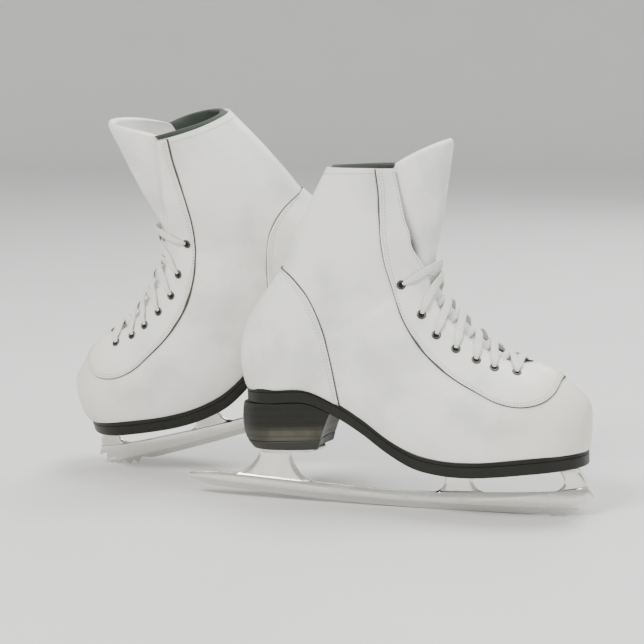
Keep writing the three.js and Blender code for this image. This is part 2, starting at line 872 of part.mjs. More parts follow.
const pair = new THREE.Group();
pair.add(right, left);
pair.updateMatrixWorld(true);
const middleOfPair = new THREE.Box3().setFromObject(pair, true).getCenter(new THREE.Vector3());
pair.position.set(-middleOfPair.x, -middleOfPair.y, 0);
export default pair;
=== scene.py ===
import json
from math import cos, pi, radians, sin, tan

import bpy
import numpy as np
from mathutils import Matrix, Vector


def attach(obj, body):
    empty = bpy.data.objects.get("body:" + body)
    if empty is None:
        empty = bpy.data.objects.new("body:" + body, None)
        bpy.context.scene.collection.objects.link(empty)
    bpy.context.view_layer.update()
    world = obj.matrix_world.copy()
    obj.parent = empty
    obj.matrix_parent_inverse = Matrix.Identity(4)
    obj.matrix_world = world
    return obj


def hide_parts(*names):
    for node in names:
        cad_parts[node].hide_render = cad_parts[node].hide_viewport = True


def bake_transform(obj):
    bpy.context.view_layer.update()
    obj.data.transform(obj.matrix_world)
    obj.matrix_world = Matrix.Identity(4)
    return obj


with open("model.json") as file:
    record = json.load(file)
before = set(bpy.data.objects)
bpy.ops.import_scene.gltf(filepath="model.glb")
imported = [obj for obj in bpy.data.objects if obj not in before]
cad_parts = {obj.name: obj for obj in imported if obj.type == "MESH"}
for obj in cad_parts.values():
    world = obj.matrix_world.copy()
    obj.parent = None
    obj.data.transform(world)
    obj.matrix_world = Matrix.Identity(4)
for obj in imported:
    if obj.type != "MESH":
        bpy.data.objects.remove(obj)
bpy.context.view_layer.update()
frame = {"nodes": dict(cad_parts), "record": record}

# ---- sizes
CLEARANCE = 0.3
LEATHER = 2.4
OVERLAY = 1.7
LINING_RISE = 5
PADDING = 4.2
TONGUE_PAD = 5
WELT = 2.6
SOLE_THICK = 12.5
HEEL_DROP = 50
LIFT_THICK = 7
BOARD_THICK = 2.6
BED_THICK = 4
BREAST_BOTTOM = 65
BREAST_RAKE = 0.3
RUNNER_THICK = 4
STANCHION_THICK = 5
PLATE_THICK = 2.2
ROCKER_RADIUS = 2134
REST = (165, -102)
REST_TILT = 3.3
SCREW_HEAD = 3.9
SOLE_SCREWS = [(193, 15), (239, 15)]
HEEL_SCREWS = [(20, 12), (52, 13)]
LACE_WIDE = 6.4
LACE_THICK = 1.7
LACE_ROWS = [4.95, 5.8, 6.6, 7.5, 8.45, 9.8, 14.4]
EYELET_SETBACK = 10
TONGUE_BEND = Vector((159.5, 0, 97))
LIFT_PITCH = 5.4
LINING_AT = -LEATHER - 0.12
OVERLAY_SEAT = 0.06
LACE_GIRTH = 0.0155

# Where each toe points, how far the skate leans over, how far its toe is up, and its hand.
STANCES = {"right": (-14, 3, REST_TILT, 1), "left": (171, 10, -14.5, -1)}


def skate_place(side):
    """The matrix from one skate's own millimetres to the pair's metres."""
    heading, lean, pitch, hand = STANCES[side]
    turned = Matrix.Rotation(radians(heading), 4, "Z")
    turned = turned @ Matrix.Rotation(radians(-lean), 4, "X")
    turned = turned @ Matrix.Rotation(radians(-pitch), 4, "Y")
    place = turned @ Matrix.Diagonal((0.001, 0.001 * hand, 0.001, 1))
    joints = frame["record"]["behaviour"]["joints"]
    bend = next(j["pos_m"] for j in joints if j["name"] == f"{side}_tongue_fold")
    return Matrix.Translation(Vector(bend) - place @ TONGUE_BEND) @ place


PLACES = {side: skate_place(side) for side in STANCES}


# ---- curves
class Curve:
    """A smooth curve y(x) through chosen points."""

    def __init__(self, points):
        self.x, self.y = np.array(points, float).T
        last = len(self.x) - 1
        before = np.maximum(np.arange(last + 1) - 1, 0)
        after = np.minimum(np.arange(last + 1) + 1, last)
        self.slope = (self.y[after] - self.y[before]) / (self.x[after] - self.x[before])

    def __call__(self, x):
        i = np.clip(np.searchsorted(self.x, x) - 1, 0, len(self.x) - 2)
        wide = self.x[i + 1] - self.x[i]
        t = np.clip((x - self.x[i]) / wide, 0, 1)
        up = 3 * t**2 - 2 * t**3
        bend = (t - 2 * t**2 + t**3) * self.slope[i] + (t**3 - t**2) * self.slope[i + 1]
        return (1 - up) * self.y[i] + up * self.y[i + 1] + wide * bend


def through(points, count):
    """count points on a smooth curve in the side view through chosen [x, z] points."""
    steps = np.linspace(0, len(points) - 1, count)
    return np.stack([Curve(list(enumerate(axis)))(steps) for axis in zip(*points)], -1)


def smooth(low, high, x):
    """0 below low, 1 above high, and a soft step between."""
    t = np.clip((x - low) / (high - low), 0, 1)
    return t * t * (3 - 2 * t)


def mound(x, middle, half):
    """1 at middle, falling softly to 0 half away on both sides."""
    return 1 - smooth(0, half, np.abs(x - middle))


def unit(vectors):
    return vectors / np.maximum(np.linalg.norm(vectors, axis=-1, keepdims=True), 1e-9)


def hand_of(y):
    """-1 on the outer side and 1 on the inner side."""
    return np.where(y < 0, -1, 1)


def squarer(x, power):
    """x with its size raised to a power and its sign kept: a circle's cosine becomes a box's."""
    return np.sign(x) * np.abs(x) ** power


def length_along(points):
    """How far each point of a line is from its start."""
    return np.append(0, np.cumsum(np.linalg.norm(np.diff(points, axis=0), axis=1)))


def row_of(t, last):
    """The nearest of the rows 0 to last."""
    return np.round(t * last).astype(int)


# ---- the boot's form
sole_top = Curve(
    [
        (0, 0), (31, 0), (57.5, -0.5), (79.5, -10.5), (100.5, -24), (121.5, -40),
        (142, -51.5), (163.5, -56.7), (185, -58.4), (207, -57.8), (239, -55.7), (280, -54.3),
    ]
)
sole_width = Curve(
    [(0, 31), (41, 31), (76.5, 29.5), (111.5, 31.5), (141, 36.5), (172, 41.5),
     (202.5, 44), (233.5, 43.5), (280, 38)]
)
HEEL_END, TOE_END = 3.5, 273.5
HEEL_ROUND, TOE_ROUND = 29, 42


def sole_half(x):
    """Half the width of the sole at x, rounded at the heel and the toe."""
    x = np.clip(x, HEEL_END, TOE_END)
    heel = np.clip((HEEL_END + HEEL_ROUND - x) / HEEL_ROUND, 0, 1)
    toe = np.clip((x - TOE_END + TOE_ROUND) / TOE_ROUND, 0, 1)
    return sole_width(x) * np.sqrt(1 - heel**2) * (1 - toe**2.2) ** (1 / 2.2)


swing_at = Curve([(0, 0), (91.5, 0), (151.5, 2), (213, 5), (280, 8)])


def swing(x, z):
    """How far the foot's centre line bends to the inner side."""
    return swing_at(x) * np.clip((85 - z) / 60, 0, 1)


SUNK = 3
BOTTOM_FLAT = 0.12
CUFF = 22


def sole_station(x, half, top, wide, crown):
    flat = max(1.5, float(sole_half(x)) - WELT)
    return (x, float(sole_top(x)) - SUNK, *top, half, wide, crown, flat)


def back_station(point, half, top, wide, crown, flat=1.5):
    return (*point, *top, half, wide, crown, flat)


STATIONS = [
    back_station((276, -45), 3, (277, -29), 0.5, 0.8),
    back_station((274, -56), 16, (276, -21), 0.4, 0.8),
    sole_station(270, 27, (272, -14.5), 0.4, 0.8),
    sole_station(258.5, 37, (261.5, -4.5), 0.39, 0.85),
    sole_station(241, 43.5, (245, 7), 0.37, 0.95),
    sole_station(217, 46, (222.5, 16.5), 0.35, 1.1),
    sole_station(192.5, 46.5, (204.5, 27), 0.34, 1.22),
    sole_station(163.5, 44, (191, 40), 0.34, 1.28),
    sole_station(131.5, 39.5, (178.5, 54), 0.36, 1.28),
    sole_station(101.5, 36.5, (170, 63.5), 0.39, 1.25),
    sole_station(76.5, 35.5, (166, 71), 0.41, 1.18),
    sole_station(53.5, 35, (163.5, 78), 0.41, 1.12),
    sole_station(33, 34.8, (163, 83.5), 0.4, 1.06),
    sole_station(17.5, 34.6, (162.5, 87.5), 0.38, 1.02),
    back_station((8, 0), 34.5, (162.5, 91), 0.36, 1, 12.5),
    back_station((2.5, 15), 35, (162.5, 95.5), 0.37, 1, 6),
    back_station((2, 32), 36, (162, 101), 0.4, 1, 2.5),
    back_station((7, 49), 37, (162, 107), 0.43, 1),
    back_station((18.5, 67), 37.8, (161.5, 114), 0.45, 1),
    back_station((35, 89), 38.3, (160.5, 122), 0.46, 1),
    back_station((45.5, 112), 38.5, (157, 131), 0.47, 1),
    back_station((59.5, 140), 38.5, (152, 147), 0.48, 0.97),
    back_station((77, 171), 38, (145.5, 167), 0.5, 0.95),
]
STATION_CURVES = [Curve(list(enumerate(column))) for column in zip(*STATIONS)]


def half_girth(u, way, turn):
    """How far the form's skin is from the middle plane."""
    half, crown, flat = (STATION_CURVES[k](u) for k in (4, 6, 7))
    rise = np.maximum(np.sin(turn), 0)
    side = np.where(turn < pi / 2, flat + (half - flat) * rise, half * rise**crown)
    return np.where(way < BOTTOM_FLAT, flat * way / BOTTOM_FLAT, side)


def form_point(u, a):
    """The form at station u and way a round: 0 at the sole or back, 1 at the instep or front."""
    bx, bz, tx, tz, _, wide, _, _ = (curve(u) for curve in STATION_CURVES)
    way = np.abs(a)
    turn = pi * np.clip(way - BOTTOM_FLAT, 0, 1) / (1 - BOTTOM_FLAT)
    along = np.where(turn < pi / 2, wide * (1 - np.cos(turn)), wide - (1 - wide) * np.cos(turn))
    # Round the heel the stations fan out, so the girth is eased over its neighbours there.
    ease = 1.1 * mound(u, 14, 3.6)
    across = sum(half_girth(u + k * ease, way, turn) for k in (-1, -0.6, -0.2, 0.2, 0.6, 1)) / 6
    x = bx + (tx - bx) * along
    z = bz + (tz - bz) * along
    return np.stack([x, swing(x, z) + np.sign(a) * across, z], -1)


def form_normal(u, a):
    """The way out of the form's skin."""
    step = 0.02
    v = np.clip(u, 0.3, CUFF - step)
    w = hand_of(a) * np.clip(np.abs(a), step, 1 - step)
    along = form_point(v + step, w) - form_point(v - step, w)
    round_it = form_point(v, w + step) - form_point(v, w - step)
    out = np.cross(along, round_it)
    centre = (np.abs(a) >= 1) | (a == 0)
    out[..., 1] = np.where(centre, 0, out[..., 1])
    return unit(out)


def relief(u, a):
    """Soft folds of the worn leather, in millimetres."""
    way = np.abs(a)
    ankle = mound(u, 12.8, 4.2) * mound(way, 0.6, 0.3)
    ball = mound(u, 5.9, 2.0) * mound(way, 0.5, 0.25)
    return 0.16 * ankle * np.sin(2.3 * u + 7 * way) + 0.14 * ball * np.sin(5.5 * u - 5 * way)


def surface(u, a, offset):
    """A point of the upper, offset outwards. Its lower edge ends just inside the sole."""
    u, a, offset = np.broadcast_arrays(np.asarray(u, float), a, offset)
    point = form_point(u, a) + form_normal(u, a) * (offset + relief(u, a))[..., None]
    point[..., 2] = np.maximum(point[..., 2], np.where(u < 14.6, sole_top(point[..., 0]) - 0.6, -99))
    return point


def over_sole(u, a):
    """How far the form is above the sole's top."""
    point = form_point(u, a)
    return point[:, 2] - sole_top(point[:, 0])


def way_at(u, y):
    """The way round at station u where the form's half width is y, near the instep."""
    rise = np.minimum(1, np.abs(y) / STATION_CURVES[4](u)) ** (1 / STATION_CURVES[6](u))
    return BOTTOM_FLAT + (pi - np.arcsin(rise)) / pi * (1 - BOTTOM_FLAT)


THROAT = 4.55
gap_width = Curve(
    [(4.5, 14), (5.5, 17), (7, 17.5), (8.5, 16), (10, 14), (14, 13), (16, 17), (18, 23),
     (20, 26), (22, 28)]
)


def gap_half(u):
    """Half the width of the lacing gap, round at its lower end."""
    t = np.clip((u - THROAT) / 0.6, 0, 1)
    return gap_width(u) * np.sqrt(1 - (1 - t) ** 2)


def on_form(points):
    """Station and way round of [x, z] points in the side view, and how far each one misses."""
    us, ways = np.meshgrid(np.linspace(0, CUFF, 221), np.linspace(BOTTOM_FLAT, 1, 89))
    known = form_point(us, ways)[..., [0, 2]].reshape(-1, 2)
    nearest = [int(np.argmin(((known - p) ** 2).sum(1))) for p in points]
    u, a = us.ravel()[nearest], ways.ravel()[nearest]
    step = 1e-3
    for _ in range(8):
        at = form_point(u, a)[:, [0, 2]]
        by_u = (form_point(u + step, a)[:, [0, 2]] - at) / step
        by_a = (at - form_point(u, a - step)[:, [0, 2]]) / step
        miss = points - at
        size = by_u[:, 0] * by_a[:, 1] - by_u[:, 1] * by_a[:, 0]
        size = np.where(np.abs(size) < 1e-6, 1e-6, size)
        u = np.clip(u + 0.7 * (miss[:, 0] * by_a[:, 1] - miss[:, 1] * by_a[:, 0]) / size, 0, CUFF)
        a = np.clip(a + 0.7 * (by_u[:, 0] * miss[:, 1] - by_u[:, 1] * miss[:, 0]) / size, 0.05, 1)
    return u, a, np.linalg.norm(points - form_point(u, a)[:, [0, 2]], axis=1)


def by_length(u, a, count):
    """The same line with count points at even distances."""
    length = length_along(form_point(u, a))
    even = np.linspace(0, length[-1], count)
    return np.interp(even, length, u), np.interp(even, length, a)


# ---- modelling
def only(piece):
    bpy.ops.object.select_all(action="DESELECT")
    piece.select_set(True)
    bpy.context.view_layer.objects.active = piece


def joined(name, pieces):
    """One piece made of several."""
    only(pieces[0])
    for piece in pieces:
        piece.select_set(True)
    if len(pieces) > 1:
        bpy.ops.object.join()
    pieces[0].name = name
    return pieces[0]


def basic(kind, **settings):
    """A new piece of one of the basic shapes."""
    bpy.ops.object.select_all(action="DESELECT")
    getattr(bpy.ops.mesh, f"primitive_{kind}_add")(**settings)
    return bpy.context.object


def edit(piece, step):
    """Runs an edit-mode step on the whole piece."""
    only(piece)
    bpy.ops.object.mode_set(mode="EDIT")
    bpy.ops.mesh.select_all(action="SELECT")
    step()
    bpy.ops.object.mode_set(mode="OBJECT")
    return piece


def weld(piece, distance):
    return edit(piece, lambda: bpy.ops.mesh.remove_doubles(threshold=distance))


def outward(piece):
    return edit(piece, lambda: bpy.ops.mesh.normals_make_consistent(inside=False))


def cap(piece):
    """Closes the open ends."""

    def close():
        bpy.ops.mesh.select_all(action="DESELECT")
        bpy.ops.mesh.select_non_manifold(extend=False)
        bpy.ops.mesh.fill_holes(sides=0)

    return edit(piece, close)


def skin_outward(piece):
    """Turns an open skin's faces away from the foot."""
    mesh = piece.data
    if sum(face.normal.y * face.center.y * face.area for face in mesh.polygons) < 0:
        mesh.flip_normals()
    return piece


def shape(piece, modifier, **settings):
    """Adds a modifier and applies it."""
    only(piece)
    added = piece.modifiers.new(modifier, modifier)
    for name, value in settings.items():
        setattr(added, name, value)
    bpy.ops.object.modifier_apply(modifier=added.name)
    return piece


def dress(piece, *looks):
    for look in looks:
        piece.data.materials.append(look)
    return piece


def thicken(piece, thickness, offset, inner=0, rim=0):
    return shape(
        piece, "SOLIDIFY", thickness=thickness, offset=offset,
        material_offset=inner, material_offset_rim=rim,
    )


def round_edges(piece, width, angle=50, segments=2):
    return shape(
        piece, "BEVEL", width=width, segments=segments, limit_method="ANGLE",
        angle_limit=radians(angle), use_clamp_overlap=True,
    )


def corners(mesh):
    at = np.empty(len(mesh.vertices) * 3)
    mesh.vertices.foreach_get("co", at)
    return at.reshape(-1, 3)


def move_corners(mesh, at):
    mesh.vertices.foreach_set("co", np.ascontiguousarray(at, float).ravel())
    mesh.update()


def net(name, columns, rows, place):
    """A grid of faces whose corners place(s, t) puts where they belong, s and t from 0 to 1."""
    piece = basic("grid", x_subdivisions=columns, y_subdivisions=rows, size=1)
    piece.name = name
    at = corners(piece.data)
    s = np.round((at[:, 0] + 0.5) * columns) / columns
    t = np.round((at[:, 1] + 0.5) * rows) / rows
    move_corners(piece.data, place(s, t))
    return piece


def lofted(name, rings):
    """A closed piece through rings of points, from its first ring to its last."""
    rings = np.array(rings)
    last, count = len(rings) - 1, rings.shape[1]

    def place(s, t):
        return rings[row_of(t, last), row_of(s, count) % count]

    return outward(weld(net(name, count, last, place), 0.01))


def plate_from(name, outline, low, high):
    """A flat piece of an outline in the side view, between two values of y."""
    piece = basic("circle", vertices=len(outline), radius=1, fill_type="NGON")
    piece.name = name
    x, z = np.array(outline, float).T
    move_corners(piece.data, np.column_stack([x, np.full(len(x), low), z]))
    reach = Vector((0, high - low, 0))
    edit(piece, lambda: bpy.ops.mesh.extrude_region_move(TRANSFORM_OT_translate={"value": reach}))
    return outward(piece)


def repeated(name, piece, frames):
    """One mesh of many copies of a small piece, each placed by a 4x4 matrix."""
    mesh = piece.data
    at = corners(mesh)
    faces = [tuple(f.vertices) for f in mesh.polygons]
    slots = [f.material_index for f in mesh.polygons]
    placed = [at @ np.array(m)[:3, :3].T + np.array(m)[:3, 3] for m in frames]
    all_faces = [[i + k * len(at) for i in f] for k in range(len(frames)) for f in faces]
    made = bpy.data.meshes.new(name)
    made.from_pydata(np.concatenate(placed).tolist(), [], all_faces)
    for look in mesh.materials:
        made.materials.append(look)
    made.polygons.foreach_set("material_index", slots * len(frames))
    made.update()
    whole = bpy.data.objects.new(name, made)
    bpy.context.collection.objects.link(whole)
    bpy.data.objects.remove(piece)
    return whole


def tile_uv(piece, wide, long):
    """Makes the piece's UV map run in metres."""
    layer = piece.data.uv_layers[0].data
    at = np.empty(len(layer) * 2)
    layer.foreach_get("uv", at)
    layer.foreach_set("uv", (at.reshape(-1, 2) * np.array([wide, long])).ravel())


def smooth_shade(piece, angle=35):
    only(piece)
    bpy.ops.object.shade_smooth_by_angle(angle=radians(angle))
    return piece


def deliver(piece, look, stands_for=(), bend=None, angle=35):
    """Gives each skate its own copy of a finished piece. look is None on a piece that is dressed."""
    if look:
        dress(piece, look)
    smooth_shade(piece, angle)
    own = piece.data.attributes.new("own_place", "FLOAT_VECTOR", "POINT")
    own.data.foreach_set("vector", (corners(piece.data) * 0.001).ravel())
    for side, place in PLACES.items():
        copy = bpy.data.objects.new(f"{side}_{piece.name}", piece.data.copy())
        copy.data.name = copy.name
        bpy.context.collection.objects.link(copy)
        copy.data.transform(place)
        if place.determinant() < 0:
            copy.data.flip_normals()
        if stands_for:
            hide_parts(*[f"{side}_{node}" for node in stands_for])
        if bend:
            start, end = (tuple(place @ Vector(point)) for point in bend)
            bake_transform(copy)
            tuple(start)
            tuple(end)
        else:
            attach(copy, "root")
    bpy.data.objects.remove(piece)


# ---- finishes
class Wire:
    """An output of a node. Operators on it add Math nodes."""

    def __init__(self, look, output):
        self.look = look
        self.output = output

    def math(self, operation, *values):
        return self.look.add("ShaderNodeMath", dict(enumerate(values)), operation=operation)

    def __add__(self, other):
        return self.math("ADD", self, other)

    def __sub__(self, other):
        return self.math("SUBTRACT", self, other)

    def __rsub__(self, other):
        return self.math("SUBTRACT", other, self)

    def __mul__(self, other):
        return self.math("MULTIPLY", self, other)

    def sine(self):
        return self.math("SINE", self)

    def size(self):
        return self.math("ABSOLUTE", self)

    __radd__ = __add__
    __rmul__ = __mul__


class Look:
    """A finish made of nodes on one glossy or matt surface shader."""

    def __init__(self, name, **constants):
        self.material = bpy.data.materials.new(name)
        self.material.use_nodes = True
        self.tree = self.material.node_tree
        self.shader = self.tree.nodes["Principled BSDF"]
        for key, value in constants.items():
            self.shader.inputs[key.replace("_", " ")].default_value = value

    def add(self, kind, values=(), out=0, **settings):
        """Adds a node: its settings first, then the values or wires of its sockets."""
        node = self.tree.nodes.new(kind)
        for key, value in settings.items():
            setattr(node, key, value)
        for key, value in dict(values).items():
            self.put(node.inputs[key], value)
        return Wire(self, node.outputs[out])

    def put(self, socket, value):
        if isinstance(value, Wire):
            self.tree.links.new(value.output, socket)
        else:
            socket.default_value = value

    def own(self):
        """The place in the skate's own frame."""
        return self.add("ShaderNodeAttribute", out="Vector", attribute_name="own_place")

    def split(self, vector):
        node = self.tree.nodes.new("ShaderNodeSeparateXYZ")
        self.put(node.inputs[0], vector)
        return [Wire(self, output) for output in node.outputs]

    def stretched(self, vector, scale):
        return self.add("ShaderNodeMapping", {"Vector": vector, "Scale": scale})

    def noise(self, vector, scale, detail=3, roughness=0.55):
        values = {"Vector": vector, "Scale": scale, "Detail": detail, "Roughness": roughness}
        return self.add("ShaderNodeTexNoise", values)

    def cells(self, vector, scale, feature="F1"):
        values = {"Vector": vector, "Scale": scale}
        return self.add("ShaderNodeTexVoronoi", values, out="Distance", feature=feature)

    def step(self, value, low, high, to_low=0.0, to_high=1.0):
        """A soft step of value from low to high."""
        values = {"Value": value, "From Min": low, "From Max": high}
        values |= {"To Min": to_low, "To Max": to_high}
        return self.add("ShaderNodeMapRange", values, interpolation_type="SMOOTHSTEP")

    def mix(self, share, one, other):
        values = {0: share, 6: one, 7: other}
        return self.add("ShaderNodeMix", values, out=2, data_type="RGBA")

    def bump(self, height, strength, distance, normal=None):
        values = {"Height": height, "Strength": strength, "Distance": distance}
        if normal:
            values["Normal"] = normal
        return self.add("ShaderNodeBump", values)

    def finish(self, **inputs):
        for key, value in inputs.items():
            self.put(self.shader.inputs[key.replace("_", " ")], value)
        return self.material


def paint(red, green, blue):
    return (red, green, blue, 1)


def white_leather(name, tone=1.0, grain=1.0):
    look = Look(name, Coat_Roughness=0.35, Coat_Weight=0.12, Specular_IOR_Level=0.45)
    own = look.own()
    x, _, z = look.split(own)
    pores = look.cells(own, 950)
    wrinkle = look.cells(look.stretched(own, (1, 1, 1.5)), 520, feature="DISTANCE_TO_EDGE")
    clouds = look.noise(own, 22, 4)
    fine = look.noise(own, 260, 3)
    white = paint(0.80 * tone, 0.795 * tone, 0.755 * tone)
    shade = paint(0.57 * tone, 0.572 * tone, 0.54 * tone)
    cream = paint(0.74 * tone, 0.70 * tone, 0.60 * tone)
    colour = look.mix(look.step(clouds, 0.42, 0.7, 0, 0.65), white, shade)
    toe = look.step(x, 0.19, 0.28) * look.step(clouds, 0.25, 0.6, 0.45, 0.95)
    colour = look.mix(toe, colour, cream)
    # Painted shade: the leather greys down the back of the shaft and along its lower edge above the
    # sole.
    rear = look.step(x - z * 0.5, 0.006, -0.022) * look.step(z, 0.02, 0.07)
    hem_shade = look.step(z + x * 0.32, 0.024, 0.002) * look.step(clouds, 0.3, 0.65, 0.2, 0.8)
    colour = look.mix(rear * 0.5 + hem_shade * 0.3, colour, paint(0.56 * tone, 0.562 * tone, 0.53 * tone))
    scuffs = look.noise(look.stretched(own, (90, 90, 30)), 1.5, 5, 0.7)
    marks = look.step(scuffs, 0.66, 0.76, 0, 0.3)
    colour = look.mix(marks, colour, paint(0.52, 0.515, 0.48))
    # Painted shade in the creases of the grain: the colour darkens along the edges of the wrinkle
    # cells.
    crease_shade = look.step(wrinkle, 0.0, 0.12, 0.35, 0)
    colour = look.mix(crease_shade * 0.35, colour, paint(0.6, 0.59, 0.55))
    rough = look.step(clouds, 0.3, 0.75, 0.36, 0.52) + marks * 0.3
    skin = look.bump(pores * 0.6 + fine * 0.5, 0.16 * grain, 0.0004)
    skin = look.bump(look.step(wrinkle, 0, 0.16), 0.12 * grain, 0.0005, skin)
    return look.finish(Base_Color=colour, Roughness=rough, Normal=skin)


def grained(name, grain, low, high, rough, relief, **constants):
    """A finish of one fine grain. It mixes two colours, varies the roughness and lifts the skin."""
    look = Look(name, **constants)
    grain = look.noise(look.own(), *grain)
    return look.finish(
        Base_Color=look.mix(grain, paint(*low), paint(*high)),
        Roughness=look.step(grain, *rough),
        Normal=look.bump(grain, *relief),
    )


def brushed_lining(name, dark, light):
    look = Look(name, Sheen_Weight=0.12, Sheen_Roughness=0.5, Specular_IOR_Level=0.15)
    own = look.own()
    x, _, z = look.split(own)
    nap = look.noise(own, 700, 4, 0.7)
    patches = look.noise(own, 45, 3)
    loops = (x * 4200).sine() * (z * 4200).sine() * 0.5 + 0.5
    colour = look.mix(nap * 0.6 + patches * 0.4, dark, light)
    return look.finish(
        Base_Color=colour, Roughness=look.step(patches, 0.3, 0.7, 0.82, 0.95),
        Normal=look.bump(nap + loops * 0.5, 0.45, 0.0006),
    )


def pressed_board():
    look = Look("pressed_board", Specular_IOR_Level=0.25)
    own = look.add("ShaderNodeTexCoord", out="Object")
    fibre = look.noise(look.stretched(own, (1, 3, 3)), 380, 5, 0.7)
    colour = look.mix(fibre, paint(0.32, 0.245, 0.15), paint(0.5, 0.41, 0.28))
    return look.finish(
        Base_Color=colour, Roughness=look.step(fibre, 0.3, 0.7, 0.7, 0.88),
        Normal=look.bump(fibre, 0.35, 0.0004),
    )


def sole_lacquer(name, stacked=False):
    look = Look(name, Coat_Roughness=0.22, Specular_IOR_Level=0.2)
    own = look.own()
    _, _, z = look.split(own)
    clouds = look.noise(own, 28, 4)
    scratch = look.noise(look.stretched(own, (260, 260, 26)), 1.4, 5, 0.75)
    worn = look.step(scratch, 0.6, 0.78, 0, 0.5)
    colour = look.mix(clouds, paint(0.0075, 0.0078, 0.0062), paint(0.014, 0.0142, 0.0115))
    height = clouds * 0.4 + scratch * 0.3
    if stacked:
        line = ((z * (2000 * pi / LIFT_PITCH)).sine() + 1) * 0.5
        groove = look.step(line, 0.0, 0.06, 1, 0)
        # Painted highlight: a lighter olive-grey band low on the heel's side, broken up by the
        # clouds.
        band = look.step(z, -0.0475, -0.043) * look.step(z, -0.036, -0.03, 1, 0)
        band = band * look.step(clouds, 0.35, 0.6, 0.35, 0.75)
        colour = look.mix(band, colour, paint(0.085, 0.083, 0.06))
        colour = look.mix(groove * 0.6, colour, paint(0.005, 0.005, 0.004))
        height = height - groove * 0.8
    colour = look.mix(worn * 0.4, colour, paint(0.05, 0.05, 0.042))
    rough = look.step(clouds, 0.3, 0.7, 0.4, 0.54) + worn * 0.2
    return look.finish(
        Base_Color=colour, Roughness=rough, Coat_Weight=look.step(worn, 0, 0.3, 0.08, 0.02),
        Normal=look.bump(height, 0.22, 0.0005),
    )


def tread_rubber():
    look = Look("heel_lift_rubber", Specular_IOR_Level=0.4)
    own = look.own()
    grain = look.noise(own, 600, 3)
    clouds = look.noise(own, 40, 3)
    colour = look.mix(clouds, paint(0.009, 0.009, 0.008), paint(0.022, 0.022, 0.018))
    return look.finish(
        Base_Color=colour, Roughness=look.step(clouds, 0.3, 0.7, 0.4, 0.6),
        Normal=look.bump(grain, 0.25, 0.0004),
    )


def bright_plate():
    """Polished nickel-chrome on the plates and stanchions, faintly hazed."""
    look = Look("polished_mount", Metallic=1.0)
    own = look.own()
    haze = look.noise(own, 60, 4)
    fine = look.noise(look.stretched(own, (120, 900, 1500)), 1.2, 3)
    specks = look.step(look.noise(own, 420, 4, 0.7), 0.66, 0.74)
    colour = look.mix(haze, paint(0.80, 0.79, 0.735), paint(0.70, 0.69, 0.635))
    colour = look.mix(specks * 0.35, colour, paint(0.42, 0.4, 0.34))
    rough = look.step(haze, 0.3, 0.7, 0.13, 0.24) + specks * 0.2
    return look.finish(Base_Color=colour, Roughness=rough, Normal=look.bump(fine, 0.05, 0.0003))


def ground_runner():
    """Chromed runner with a duller band of bare ground steel along the edge."""
    look = Look("ground_runner", Metallic=1.0)
    own = look.own()
    x, _, z = look.split(own)
    along = x - REST[0] / 1000
    sag = along * along * (1000 / (2 * ROCKER_RADIUS))
    ice = REST[1] / 1000 - along * tan(radians(REST_TILT)) + sag
    wave = look.noise(own, 70, 3)
    ground = look.step(z - ice + wave * 0.0012, 0.0052, 0.0062, 1, 0)
    lines = look.noise(look.stretched(own, (40, 1400, 3200)), 1, 4, 0.6)
    haze = look.noise(own, 50, 4)
    colour = look.mix(haze, paint(0.79, 0.78, 0.725), paint(0.70, 0.69, 0.64))
    steel = look.mix(lines, paint(0.5, 0.495, 0.47), paint(0.66, 0.655, 0.62))
    colour = look.mix(ground, colour, steel)
    rough = look.step(haze, 0.3, 0.7, 0.15, 0.26) + ground * 0.16 + lines * 0.05
    return look.finish(Base_Color=colour, Roughness=rough, Normal=look.bump(lines, 0.08, 0.0003))


def woven_lace():
    """Flat cotton braid: two slanted ways of yarn that meet along the middle."""
    look = Look("woven_lace", Sheen_Weight=0.3, Sheen_Roughness=0.45, Specular_IOR_Level=0.25)
    uv = look.add("ShaderNodeUVMap")
    across, along, _ = look.split(uv)
    middle, yarn_pitch, rib_pitch = 0.0078, 0.00115, 0.0011
    yarn = ((along + (across - middle).size() * 0.8) * (2 * pi / yarn_pitch)).sine()
    rib = (across * (2 * pi / rib_pitch)).sine()
    weave = yarn * 0.6 + rib * 0.4
    fuzz = look.noise(look.own(), 1600, 3, 0.7)
    dirt = look.noise(look.own(), 90, 3)
    # Painted shade in the weave: the hollows between the yarns are darker than the ridges.
    hollow_shade, ridge = paint(0.52, 0.515, 0.475), paint(0.82, 0.815, 0.775)
    colour = look.mix(look.step(weave, -0.9, 0.2), hollow_shade, ridge)
    colour = look.mix(look.step(dirt, 0.5, 0.75, 0, 0.35), colour, paint(0.66, 0.65, 0.59))
    return look.finish(
        Base_Color=colour, Roughness=look.step(fuzz, 0.2, 0.8, 0.78, 0.93),
        Normal=look.bump(weave + fuzz * 0.5, 0.5, 0.0004),
    )


# Painted shade: the near-black finish of the disc that fills each eyelet's hole.
def eyelet_shade_disc():
    look = Look("painted_eyelet_shade", Specular_IOR_Level=0.1)
    haze = look.noise(look.own(), 700, 2)
    return look.finish(
        Base_Color=look.mix(haze, paint(0.008, 0.008, 0.008), paint(0.02, 0.02, 0.018)),
        Roughness=look.step(haze, 0, 1, 0.85, 0.95),
    )


LEATHER_WHITE = white_leather("white_leather")
LEATHER_TRIM = white_leather("white_trim_leather", 0.985, 1.2)
TONGUE_LEATHER = white_leather("tongue_leather", 1.01, 0.8)
